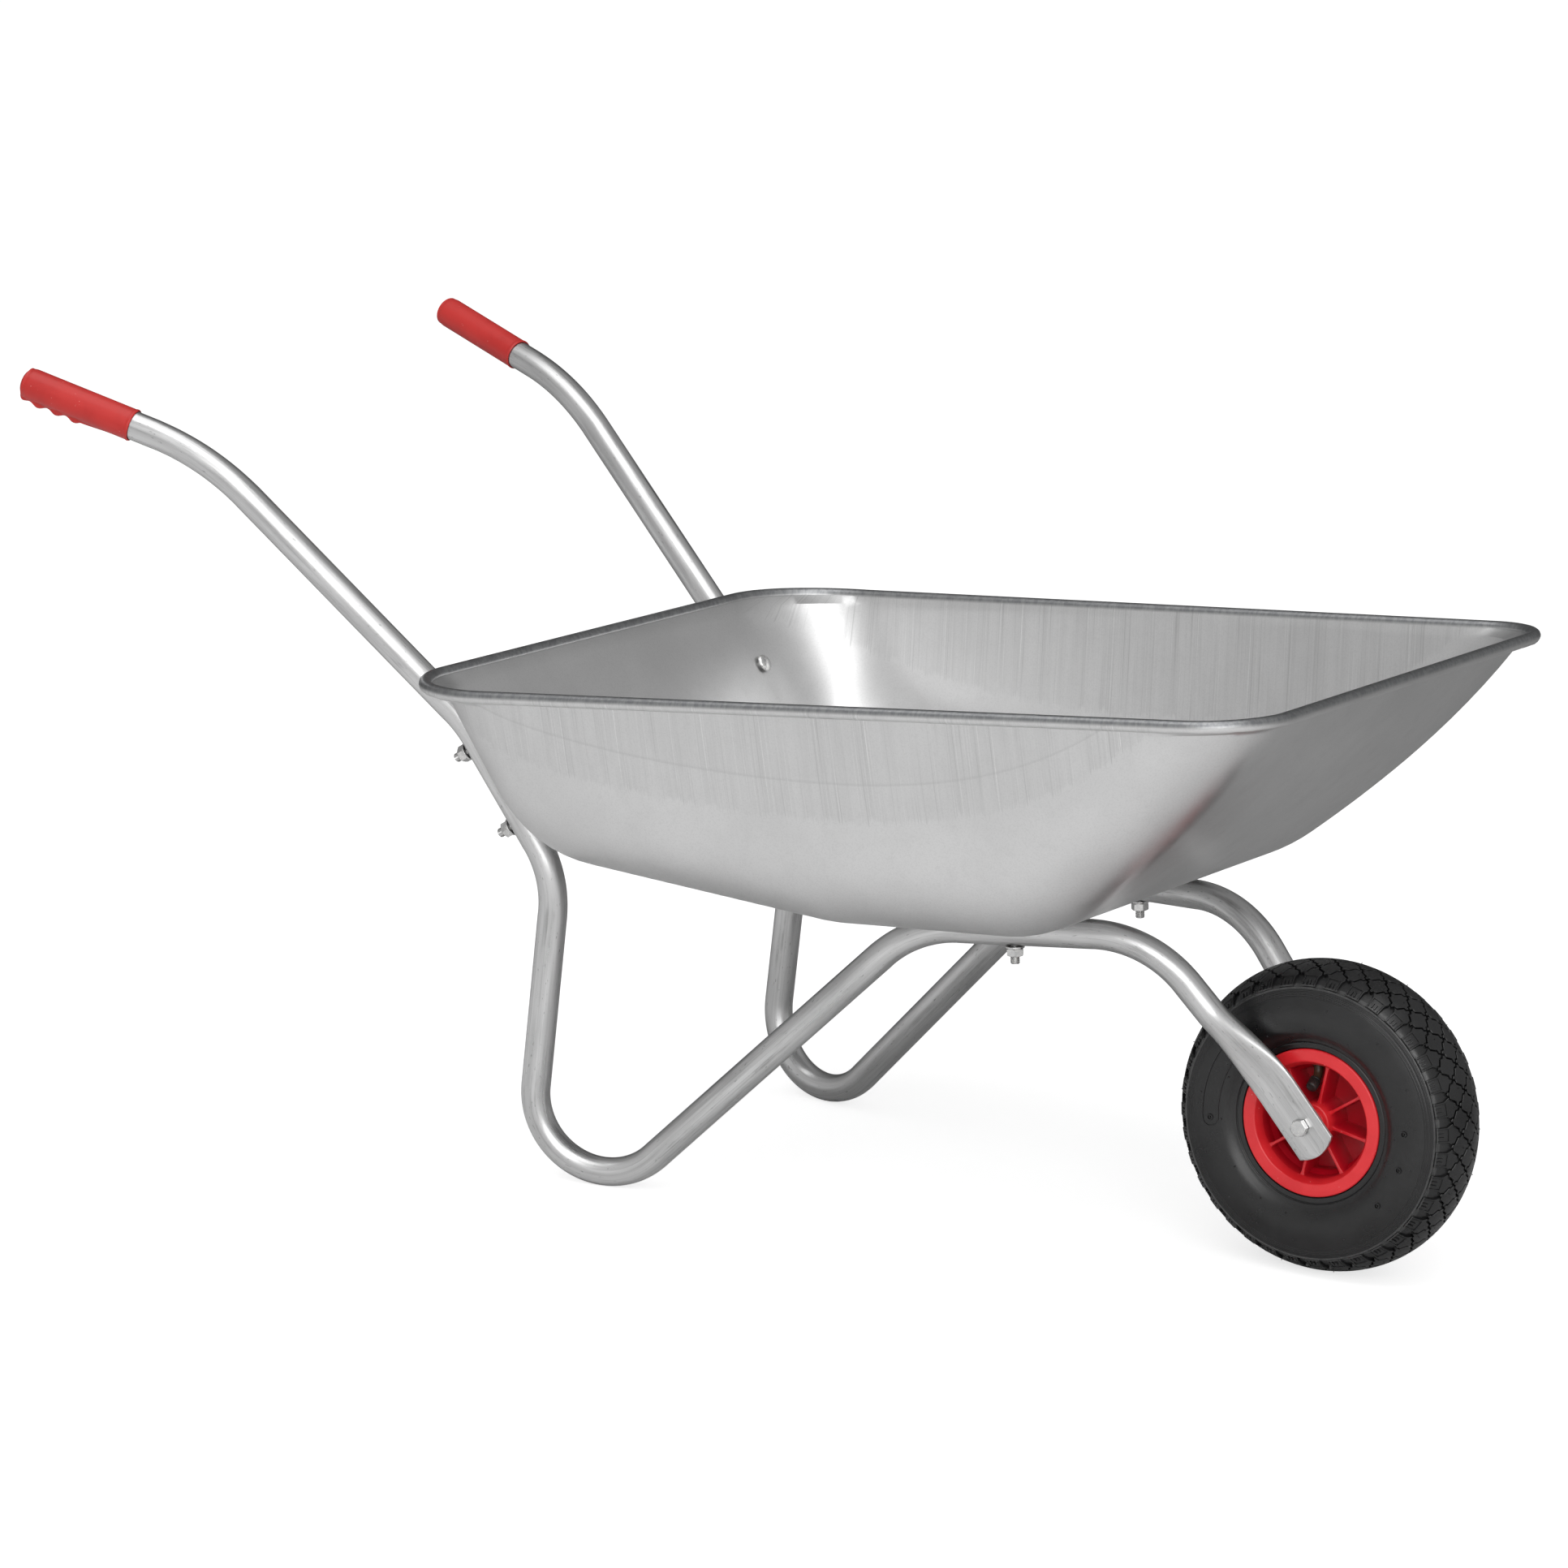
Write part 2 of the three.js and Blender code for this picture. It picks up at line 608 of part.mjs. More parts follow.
for (const bolt of TRAY_BOLTS) {
  const pieces = {
    bolt: closed(onBolt(roundHeadBolt(), bolt)),
    washer: onBolt(ring(polygon(HOLE_SIDES, WASHER_R), BOLT_HOLE_R, washerTop - WASHER_H, washerTop), bolt),
    nut: onBolt(ring(hexagon, BOLT_HOLE_R, nutTop - NUT_H, nutTop), bolt),
  };
  for (const [kind, geometry] of Object.entries(pieces)) {
    add(`tray_${kind}_${bolt.name}_left`, geometry, 'zinc');
    add(`tray_${kind}_${bolt.name}_right`, mirrored(geometry), 'zinc');
  }
}

// ---- assembly: axle and wheel, built about the axle -----------------------------------------

const axle = new THREE.Group();
axle.position.set(0, 0, AXLE_Z);
group.add(axle);

const plateInner = PLATE_Y - PLATE_THICK / 2;
const plateOuter = PLATE_Y + PLATE_THICK / 2;
const axleNutInner = plateOuter + GAP + WASHER_H + GAP;
// Pieces along the axle are made along +Z and turned so that +Z becomes +Y.
const alongAxle = (geometry) => geometry.rotateX(-Math.PI / 2);

const boltHead = -plateOuter - GAP;
add('axle_bolt', combine([
  alongAxle(bar(BOLT_R, boltHead - 1, axleNutInner + NUT_H + 5)),
  alongAxle(new THREE.ExtrudeGeometry(new THREE.Shape(hexagon), { depth: AXLE_HEAD_H, bevelEnabled: false })
    .translate(0, 0, boltHead - AXLE_HEAD_H)),
]), 'zinc', axle);
add('axle_washer', alongAxle(ring(polygon(HOLE_SIDES, WASHER_R), BOLT_HOLE_R, plateOuter + GAP,
  plateOuter + GAP + WASHER_H)), 'zinc', axle);
add('axle_nut', alongAxle(ring(hexagon, BOLT_HOLE_R, axleNutInner, axleNutInner + NUT_H)), 'zinc', axle);
add('axle_sleeve', alongAxle(ring(polygon(TURNED_SIDES, SLEEVE_R), BOLT_HOLE_R, -plateInner + GAP,
  plateInner - GAP)), 'zinc', axle);

const bushEnd = BOSS_Y + GAP + BUSH_FLANGE;
const spacer = lathe([[SLEEVE_R + GAP, bushEnd + GAP], [10, bushEnd + GAP], [10, plateInner - GAP],
  [SLEEVE_R + GAP, plateInner - GAP], [SLEEVE_R + GAP, bushEnd + GAP]], TURNED_SIDES);
add('axle_spacer_left', spacer, 'nylon', axle);
add('axle_spacer_right', mirrored(spacer), 'nylon', axle);

const bush = lathe([[SLEEVE_R + GAP, 12], [BUSH_R, 12], [BUSH_R, BOSS_Y + GAP], [BUSH_FLANGE_R, BOSS_Y + GAP],
  [BUSH_FLANGE_R, bushEnd], [SLEEVE_R + GAP, bushEnd], [SLEEVE_R + GAP, 12]], TURNED_SIDES);
add('wheel_bush_left', bush, 'hub_plastic', axle);
add('wheel_bush_right', mirrored(bush), 'hub_plastic', axle);

// Half a profile given from the wheel's middle plane outwards becomes a whole closed one.
function bothSides(half) {
  const other = half.map(([r, y]) => [r, -y]).reverse();
  const whole = [...half, ...other];
  return [...whole, whole[0]];
}

// Turned about the axle from straight forward (+X), rising: the hub's ribs and valve use it.
function turned(geometry, angle) {
  return geometry.rotateY(-angle);
}

function hub() {
  const inner = SEAT_R - BARREL_WALL;
  const flangeIn = FLANGE_Y - FLANGE_THICK;
  const barrel = lathe(bothSides([
    [WELL_R, 0], [WELL_R, 12], [SEAT_R, 16], [SEAT_R, flangeIn], [FLANGE_R - 1, flangeIn],
    [FLANGE_R, flangeIn + 1], [FLANGE_R, FLANGE_Y - 1], [FLANGE_R - 1, FLANGE_Y], [50, FLANGE_Y],
    [inner - 1, RIB_Y], [inner - 1, 17], [WELL_R - BARREL_WALL, 13], [WELL_R - BARREL_WALL, 0],
  ]), WHEEL_SEGMENTS);
  const web = lathe([[BUSH_R + 1, -WEB_HALF], [WELL_R - 1, -WEB_HALF], [WELL_R - 1, WEB_HALF],
    [BUSH_R + 1, WEB_HALF], [BUSH_R + 1, -WEB_HALF]], WHEEL_SEGMENTS);
  const boss = lathe(bothSides([[BOSS_R + 2, 0], [BOSS_R, BOSS_Y], [BUSH_R + GAP, BOSS_Y],
    [BUSH_R + GAP, 0]]), TURNED_SIDES);
  const ribs = Array.from({ length: RIB_COUNT }, (_, k) => {
    const length = inner + 0.5 - BOSS_R;
    const rib = new THREE.BoxGeometry(length, 2 * RIB_Y, RIB_THICK);
    rib.translate(BOSS_R - 0.5 + length / 2, 0, 0);
    return turned(rib, RIB_PHASE + 2 * Math.PI * k / RIB_COUNT);
  });
  const valveHole = bar(5, WELL_R - 12, SEAT_R + 6).rotateY(Math.PI / 2);
  return combine([barrel, web, boss, ...ribs], [turned(valveHole.translate(0, -VALVE_Y, 0), VALVE_ANGLE)]);
}
add('wheel_hub', hub(), 'hub_plastic', axle);

const seat = SEAT_R + GAP;
const flangeInner = FLANGE_Y - FLANGE_THICK - GAP;
add('tyre', lathe(bothSides([
  [TYRE_R, 0], [TYRE_R - 2.2, 14], [TYRE_R - 7.5, 26], [TYRE_R - 14, 34.5], [TYRE_R - 25, 40],
  [TYRE_R - 38, TYRE_HALF_WIDTH], [TYRE_R - 53, 40], [FLANGE_R + 4, 35], [FLANGE_R, flangeInner],
  [seat, flangeInner], [seat, 19], [62, 23], [80, 34.5], [102, 32.5], [116, 19], [121, 0],
]), WHEEL_SEGMENTS), 'tyre_rubber', axle);

// The inner tube is hollow, and open where its valve goes through the hub.
const innerTubeAt = 85;
const oval = (across, high) => {
  const points = polygon(10, 1).map((p) => [innerTubeAt + high * p.x, across * p.y]);
  return lathe([...points, points[0]], 24);
};
add('inner_tube', combine([oval(27, 31)], [
  oval(25.4, 29.4),
  turned(bar(3, 50, 62, 8).rotateY(Math.PI / 2).translate(0, -VALVE_Y + 4, 0), VALVE_ANGLE),
]), 'rubber', axle);

// The valve comes through the hub's well and is bent towards the right, where the pump reaches it.
function valve() {
  const out = new THREE.Vector3(Math.cos(VALVE_ANGLE), 0, Math.sin(VALVE_ANGLE));
  const base = out.clone().multiplyScalar(SEAT_R + 1).setY(-VALVE_Y);
  const elbow = out.clone().multiplyScalar(37).setY(-VALVE_Y - 1);
  const tip = out.clone().multiplyScalar(29).setY(-VALVE_Y - 15);
  const stemLength = elbow.distanceTo(base);
  const stem = bar(4.2, 0, stemLength + 2).applyQuaternion(aim(elbow.clone().sub(base).normalize()))
    .translate(base.x, base.y, base.z);
  const arm = tip.clone().sub(elbow);
  const reach = arm.length();
  const outlet = bar(3.6, -2, reach - 9).applyQuaternion(aim(arm.clone().normalize()))
    .translate(elbow.x, elbow.y, elbow.z);
  const cap = bar(4.8, reach - 9 + GAP, reach + 2).applyQuaternion(aim(arm.normalize()))
    .translate(elbow.x, elbow.y, elbow.z);
  return { stem: combine([stem, outlet]), cap: closed(cap) };
}
const { stem, cap } = valve();
add('valve_stem', stem, 'rubber', axle);
add('valve_cap', cap, 'rubber', axle);

export default group;
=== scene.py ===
import json
import math

import bpy
import numpy as np
from mathutils import Matrix, Vector

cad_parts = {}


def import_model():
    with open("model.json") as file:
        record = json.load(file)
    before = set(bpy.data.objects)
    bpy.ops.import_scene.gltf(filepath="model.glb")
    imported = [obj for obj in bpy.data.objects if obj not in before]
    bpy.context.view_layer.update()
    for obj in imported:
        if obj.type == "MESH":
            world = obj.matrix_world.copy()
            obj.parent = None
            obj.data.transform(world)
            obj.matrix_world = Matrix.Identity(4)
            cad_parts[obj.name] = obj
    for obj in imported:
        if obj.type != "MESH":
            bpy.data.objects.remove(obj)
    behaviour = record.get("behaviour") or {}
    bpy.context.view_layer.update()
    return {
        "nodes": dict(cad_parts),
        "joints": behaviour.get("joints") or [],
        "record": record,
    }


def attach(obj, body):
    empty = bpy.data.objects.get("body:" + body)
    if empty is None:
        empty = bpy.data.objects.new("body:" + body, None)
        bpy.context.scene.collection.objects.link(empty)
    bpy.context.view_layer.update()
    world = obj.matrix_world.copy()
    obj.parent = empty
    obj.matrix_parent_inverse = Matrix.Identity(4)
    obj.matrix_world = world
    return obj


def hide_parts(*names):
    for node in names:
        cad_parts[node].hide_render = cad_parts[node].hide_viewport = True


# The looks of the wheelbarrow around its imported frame. Lengths here are millimetres counted from the wheel's
# axle on the ground (+X forward, +Y left, +Z up); place() turns them into the frame's metres.

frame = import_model()

MM = 0.001
AXLE = Vector(frame["joints"][0]["pos_m"])
AXLE_Z = 130.0
TAU = 2 * math.pi
rng = np.random.default_rng(4)

# ---- driving dimensions, the same as the frame's -------------------------------------------------

TUBE_R = 12.5
TUBE_Y_AT_AXLE = 46.4
TUBE_SPLAY = 0.22674
TUBE_LEAN = 0.0197
FRAME_CORNERS = [          # t forward in the tube's own plane, z height, bend radius
    (-1133.5, 634.0, 0), (-973.3, 589.0, 230), (-733.1, 384.8, 130), (-650.5, 262.5, 98),
    (-674.7, -92.6, 63), (-335.6, 257.8, 105), (-136.2, 273.1, 103), (-27.5, 158.9, 0),
]
GRIP_MOUTH = (-1040.8, 608.0)
GRIP_LENGTH = 106.0
GRIP_R = 14.0
GRIP_BUMP_PITCH = 17.5
GRIP_BUMPS_REACH = 62      # from the grip's closed end
GRIP_TAIL_REACH = 92
LEFT_GRIP_TWIST = math.radians(38)  # the left grip is turned so that its finger bumps face outwards
CRUSH_LENGTH = 75.0
PLATE_Y = 49.5
PLATE_WIDTH = 37.4
PLATE_THICK = 4.2
PLATE_PAST_AXLE = 27.5
PLATE_END_R = 30.0

RIM_Z_AT_AXLE = 496.9
RIM_RISE = 0.1019
RIM_LIFT_FROM = -634.0
RIM_LIFT = 4.43e-4
RIM_HALF_WIDTH_AT_AXLE = 281.65
RIM_TAPER = 0.049
BEAD_R = 5.4
BEAD_REAR_X = -734.0
BEAD_FRONT_X = 46.0
BEAD_REAR_CORNER_R = 88.0
BEAD_FRONT_CORNER_R = 58.0
SHEET = 1.0
WALLS = [(-703.5, 392.0, -1.5193), (-600.0, 284.8, -0.0675), (-132.7, 286.1, 0.0787), (41.0, 500.0, 1.0593)]
WALL_BLENDS = [102.0, 140.0, 105.0]
FRONT_WALL_CROWN = 11.5
SIDE_WALL_INSET = 5.0
SIDE_WALL_DRAFT = 0.2
SIDE_WALL_CROWN = 3.0
TRAY_DEPTH = 210.0
FLOOR_EDGE_R = 65.0
REAR_CORNER_R = 90.0
FRONT_CORNER_R = 62.0
TRAY_CENTRE_X = -330.0

GAP = 0.3
BOLT_R = 4.0
BOLT_HEAD_R = 8.0
BOLT_HEAD_H = 4.2
HEAD_PROUD = 1.8           # how far the heads stand off their seats, as the curved sheet rises beside them
BOLT_STUD = 6.5
THREAD_PITCH = 1.25
NUT_ACROSS = 13.0
NUT_H = 6.5
WASHER_R = 8.0
WASHER_H = 1.6
TRAY_BOLTS = [             # name, t forward in the tube's plane, z height, which wall it goes through
    ("rear_upper", -721.7, 367.9, 0), ("rear_lower", -681.0, 307.7, 0), ("front", -249.9, 264.4, 2),
]
FASTENER_COLUMNS = 72
HEX_SHARP = math.radians(28)
SIDES = (("left", False), ("right", True))

TYRE_R = 130.0
TREAD_PITCHES = 36
FLANGE_R = 61.7
FLANGE_Y = 34.9
FLANGE_THICK = 3.6
SEAT_R = 50.8
WELL_R = 46.0
BARREL_WALL = 3.0
WEB_HALF = 2.0
BOSS_R = 16.0
BOSS_Y = 34.0
RIB_COUNT = 8
RIB_THICK = 3.0
RIB_Y = 27.0
RIB_PHASE = math.radians(80)
VALVE_ANGLE = math.radians(98)
VALVE_Y = 13.0
SLEEVE_R = 6.0
BUSH_R = 9.5
BUSH_FLANGE_R = 13.0
BUSH_FLANGE = 2.0
AXLE_HEAD_H = 5.5
FARTHEST = 900.0           # further from the tray's middle than any of its walls
HALVINGS = 40


# ---- meshes --------------------------------------------------------------------------------------

def place(points):
    """Axle-frame millimetres to row-frame metres."""
    return np.asarray(points, float) * MM + np.array([AXLE.x, 0, 0])


def bearings(count):
    """Angles evenly round a circle."""
    return TAU * np.arange(count) / count


def grid_faces(rows, columns, wrap_rows=False):
    """Quads over a grid of points that is numbered row by row."""
    i = np.arange(rows if wrap_rows else rows - 1)
    i, j = np.meshgrid(i, np.arange(columns), indexing="ij")
    down, across = (i + 1) % rows, (j + 1) % columns
    corners = [i * columns + j, i * columns + across, down * columns + across, down * columns + j]
    return np.stack(corners, -1).reshape(-1, 4).tolist()


def fan(centre, loop):
    """Triangles from one point to a closed loop of points."""
    return [(centre, loop[k], loop[(k + 1) % len(loop)]) for k in range(len(loop))]


def tube_solid(rings):
    """Points and faces of a solid through rings of points, with a fan over each end."""
    rings = np.asarray(rings, float)
    rows, columns = rings.shape[:2]
    points = np.concatenate([rings.reshape(-1, 3), rings[:1].mean(1), rings[-1:].mean(1)])
    faces = grid_faces(rows, columns)
    faces += fan(rows * columns, list(range(columns))[::-1])
    faces += fan(rows * columns + 1, list(range((rows - 1) * columns, rows * columns)))
    return points, faces


def volume(points, faces):
    total = 0.0
    for size in (3, 4):
        some = np.array([f for f in faces if len(f) == size])
        if len(some):
            for k in range(1, size - 1):
                a, b, c = points[some[:, 0]], points[some[:, k]], points[some[:, k + 1]]
                total += np.einsum("ij,ij->i", a, np.cross(b, c)).sum() / 6
    return total


def piece(name, body, slot, points, faces, replaces, sharp=math.radians(34), rest=None, finish=None):
    """One mesh piece of the object: faces out, smooth apart from sharp edges, riding on its body."""
    points = np.asarray(points, float)
    if volume(points, faces) < 0:
        faces = [tuple(f)[::-1] for f in faces]
    mesh = bpy.data.meshes.new(name)
    mesh.from_pydata(place(points).tolist(), [], faces)
    mesh.polygons.foreach_set("use_smooth", np.ones(len(mesh.polygons), bool))
    mesh.set_sharp_from_angle(angle=sharp)
    if rest is not None:
        attribute = mesh.attributes.new("rest", "FLOAT_VECTOR", "POINT")
        attribute.data.foreach_set("vector", (np.asarray(rest, float) * MM).astype(np.float32).ravel())
    mesh.update()
    made = bpy.data.objects.new(name, mesh)
    bpy.context.scene.collection.objects.link(made)
    mesh.materials.append(MATERIALS[finish or slot])
    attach(made, body)
    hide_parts(*replaces)


def mirror(points):
    return np.asarray(points, float) * np.array([1, -1, 1])


def lathe(profile, segments=96):
    """Points and faces of a closed profile of (radius, height) turned about +Z."""
    profile = np.asarray(profile, float)
    angles = bearings(segments)
    rings = np.stack([np.outer(profile[:, 0], np.cos(angles)), np.outer(profile[:, 0], np.sin(angles)),
                      np.repeat(profile[:, 1:2], segments, 1)], -1)
    return rings.reshape(-1, 3), grid_faces(len(profile), segments, wrap_rows=True)


def rounded(profile, radii, steps=5):
    """A closed outline whose corners are rounded, each to its own radius."""
    profile = [np.array(p, float) for p in profile]
    radii = radii if hasattr(radii, "__len__") else [radii] * len(profile)
    out = []
    for k, corner in enumerate(profile):
        before, after = profile[k - 1], profile[(k + 1) % len(profile)]
        u, v = before - corner, after - corner
        lu, lv = np.linalg.norm(u), np.linalg.norm(v)
        u, v = u / lu, v / lv
        turn = math.pi - math.acos(max(-1.0, min(1.0, float(u @ v))))
        reach = min(radii[k] * math.tan(turn / 2), 0.48 * lu, 0.48 * lv)
        if turn < 0.05 or reach < 1e-4:
            out.append(corner)
            continue
        radius = reach / math.tan(turn / 2)
        middle = (u + v) / np.linalg.norm(u + v)
        centre = corner + middle * math.hypot(radius, reach)
        start, end = corner + u * reach - centre, corner + v * reach - centre
        for s in range(steps + 1):
            f = s / steps
            w0, w1 = math.sin((1 - f) * turn) / math.sin(turn), math.sin(f * turn) / math.sin(turn)
            out.append(centre + start * w0 + end * w1)
    return np.array(out)


def aim(points, direction, origin):
    """Points made along +Z, turned to a direction and moved to an origin."""
    turn = np.array(Vector((0, 0, 1)).rotation_difference(Vector(direction)).to_matrix())
    return np.asarray(points, float) @ turn.T + np.asarray(origin, float)


def smoothstep(x):
    x = np.clip(x, 0, 1)
    return x * x * (3 - 2 * x)


# ---- materials -----------------------------------------------------------------------------------

def add_node(tree, kind, inputs=(), **settings):
    """A shader node with its settings, whose inputs are sockets or plain values."""
    made = tree.nodes.new("ShaderNode" + kind)
    for name, value in settings.items():
        setattr(made, name, value)
    for key, value in dict(inputs).items():
        if isinstance(value, bpy.types.NodeSocket):
            tree.links.new(value, made.inputs[key])
        else:
            made.inputs[key].default_value = value
    return made


class Paint:
    """A material's node tree, built by plain calls that take sockets or numbers."""

    def __init__(self, name, **constants):
        self.material = bpy.data.materials.new(name)
        self.material.use_nodes = True
        self.tree = self.material.node_tree
        self.shader = self.tree.nodes["Principled BSDF"]
        for socket, value in constants.items():
            self.shader.inputs[socket.replace("_", " ")].default_value = value

    def node(self, kind, inputs=(), **settings):
        return add_node(self.tree, kind, inputs, **settings)

    def coordinates(self, scale=(1, 1, 1), rest=False):
        if rest:
            source = self.node("Attribute", attribute_name="rest").outputs["Vector"]
        else:
            source = self.node("TexCoord").outputs["Object"]
        return self.node("Mapping", {"Vector": source, "Scale": scale}).outputs[0]

    def noise(self, vector, scale, detail=3.0, roughness=0.55):
        return self.node("TexNoise", {"Vector": vector, "Scale": scale, "Detail": detail,
                                      "Roughness": roughness}).outputs["Fac"]

    def cells(self, vector, scale):
        return self.node("TexVoronoi", {"Vector": vector, "Scale": scale}).outputs["Distance"]

    def band(self, value, low, high, to_low=0.0, to_high=1.0):
        """A smooth change from to_low to to_high while value goes from low to high."""
        inputs = {"Value": value, 1: low, 2: high, 3: to_low, 4: to_high}
        return self.node("MapRange", inputs, interpolation_type="SMOOTHSTEP").outputs[0]

    def math(self, operation, a, b=0.0):
        return self.node("Math", {0: a, 1: b}, operation=operation).outputs[0]

    def times(self, a, b):
        return self.math("MULTIPLY", a, b)

    def plus(self, a, b):
        return self.math("ADD", a, b)

    def minus(self, a, b):
        return self.math("SUBTRACT", a, b)

    def axis(self, vector, name):
        return self.node("SeparateXYZ", {0: vector}).outputs[name]

    def mix(self, factor, a, b):
        return self.node("Mix", {"Factor": factor, 6: a, 7: b}, data_type="RGBA").outputs[2]

    def layers(self, colour, *layers):
        """A colour under layers that each have a mask, a strength and a shade."""
        for mask, strength, shade in layers:
            colour = self.mix(self.times(mask, strength), colour, shade)
        return colour

    def bump(self, height, distance, strength=1.0, after=None):
        inputs = {"Height": height, "Distance": distance, "Strength": strength}
        if after is not None:
            inputs["Normal"] = after
        return self.node("Bump", inputs).outputs[0]

    def wire(self, **sockets):
        for name, socket in sockets.items():
            self.tree.links.new(socket, self.shader.inputs[name.replace("_", " ")])
        return self.material


def grey(value, tint=(1.0, 1.0, 1.0)):
    return (value * tint[0], value * tint[1], value * tint[2], 1.0)


def tray_steel():
    """Galvanised sheet: two arched bands of drawing scratches, a cloudy bloom and a bead that is darker along
    its top.
    """
    paint = Paint("tray_steel", Metallic=1.0)
    place_ = paint.coordinates()
    clouds = paint.noise(place_, 9.0, 4.0, 0.6)
    mottle = paint.noise(place_, 60.0, 3.0, 0.6)
    grain = paint.noise(place_, 620.0, 2.0, 0.6)
    x, y, z = (paint.axis(place_, name) for name in "XYZ")
    # the scratches lean a little, as the sheet was drawn towards the middle of the floor
    leaning = paint.plus(x, paint.times(z, 0.1))
    drawn = paint.node("CombineXYZ", {"X": leaning, "Y": paint.math("SIGN", y), "Z": z}).outputs[0]
    fine, broad = (
        paint.noise(paint.node("Mapping", {"Vector": drawn, "Scale": scale}).outputs[0], 1.0, 2.0, roughness)
        for scale, roughness in (((640, 5, 3), 0.75), ((75, 5, 5), 0.6)))
    # both bands end in an arch that is lowest behind the middle
    from_low = paint.minus(x, 0.064)
    square = paint.times(from_low, from_low)
    arch = paint.plus(paint.times(square, 0.35),
                      paint.times(paint.times(square, square), 2.9))
    height = paint.minus(z, arch)
    fringe = paint.times(paint.minus(paint.plus(fine, broad), 1.0), 0.022)
    sides = paint.band(paint.math("ABSOLUTE", y), 0.215, 0.24)
    facing = paint.axis(paint.node("NewGeometry", {}).outputs["Normal"], "Y")
    outside = paint.band(paint.times(facing, paint.math("SIGN", y)), 0.0, 0.2)
    lower = paint.times(paint.band(paint.minus(height, fringe), 0.366, 0.37), sides)
    upper = paint.times(paint.band(height, 0.3975, 0.399), paint.times(sides, outside))
    line = paint.times(upper, paint.band(height, 0.4012, 0.399))
    patches = paint.band(broad, 0.38, 0.62, 0.15, 1.0)
    bright = paint.times(paint.band(fine, 0.56, 0.72), paint.times(lower, patches))
    dark = paint.times(paint.band(fine, 0.46, 0.3), paint.times(lower, patches))
    colour = paint.mix(paint.band(clouds, 0.3, 0.7), grey(0.72), grey(0.78))
    colour = paint.layers(
        colour, (lower, paint.band(broad, 0.35, 0.7, 0.14, 0.48), grey(0.6)), (upper, 0.2, grey(0.64)),
        (dark, 0.6, grey(0.48)), (bright, 0.65, grey(0.96)),
        (line, 0.25, grey(0.5)), (paint.band(mottle, 0.5, 0.8), 0.2, grey(0.62)),
        (paint.band(grain, 0.42, 0.7), 0.16, grey(0.5)))
    # the rolled bead is made darker from its middle up over its top, broken up in patches
    lift = paint.math("MAXIMUM", paint.minus(RIM_LIFT_FROM * MM + AXLE.x, x), 0.0)
    rim = paint.plus(paint.times(x, RIM_RISE), RIM_Z_AT_AXLE * MM - AXLE.x * RIM_RISE)
    rim = paint.plus(rim, paint.times(paint.times(lift, lift), RIM_LIFT / MM))
    darker_bead_top = paint.band(paint.minus(z, rim), -0.0015, 0.002)
    bead_top_patches = paint.noise(paint.coordinates((260, 260, 8)), 1.0, 2.0, 0.7)
    darker_bead_top = paint.times(darker_bead_top, paint.band(bead_top_patches, 0.35, 0.65, 1.0, 0.8))
    colour = paint.mix(darker_bead_top, colour, grey(0.27, (0.98, 1, 1.03)))
    rough = paint.band(mottle, 0.2, 0.8, 0.36, 0.42)
    rough = paint.plus(rough, paint.times(dark, 0.06))
    first = paint.bump(fine, 0.0001, 0.25)
    second = paint.bump(mottle, 0.0002, 0.2, first)
    return paint.wire(Base_Color=colour, Roughness=rough, Normal=second)


def tube_steel():
    """Galvanised tube: drawing lines along its length, dark worn streaks, specks and rubs."""
    paint = Paint("tube_steel", Metallic=1.0)
    lines = paint.noise(paint.coordinates((520, 520, 4), rest=True), 1.0, 3.0, 0.7)
    streaks = paint.noise(paint.coordinates((150, 150, 9), rest=True), 1.0, 3.0, 0.6)
    clouds = paint.noise(paint.coordinates((70, 70, 14), rest=True), 1.0, 4.0, 0.65)
    specks = paint.noise(paint.coordinates((620, 620, 180), rest=True), 1.0, 2.0, 0.5)
    dark = paint.band(specks, 0.66, 0.76)
    rub = paint.times(paint.band(clouds, 0.52, 0.7), paint.band(lines, 0.38, 0.62))
    colour = paint.mix(paint.band(streaks, 0.3, 0.7), grey(0.58), grey(0.76))
    colour = paint.layers(colour, (paint.band(lines, 0.5, 0.75), 0.45, grey(0.4)),
                          (dark, 0.6, grey(0.22)), (rub, 0.5, grey(0.3)))
    rough = paint.band(streaks, 0.25, 0.75, 0.26, 0.38)
    rough = paint.plus(rough, paint.times(rub, 0.12))
    first = paint.bump(lines, 0.0003, 0.25)
    second = paint.bump(streaks, 0.0005, 0.22, first)
    return paint.wire(Base_Color=colour, Roughness=rough, Normal=second)


def zinc():
    paint = Paint("zinc", Metallic=1.0)
    place_ = paint.coordinates()
    cloud = paint.noise(place_, 260.0, 3.0)
    fine = paint.noise(place_, 1500.0, 3.0)
    colour = paint.mix(paint.band(cloud, 0.35, 0.65), grey(0.66), grey(0.78, (1, 0.995, 0.98)))
    rough = paint.band(cloud, 0.3, 0.7, 0.18, 0.3)
    return paint.wire(Base_Color=colour, Roughness=rough, Normal=paint.bump(fine, 0.0001, 0.25))


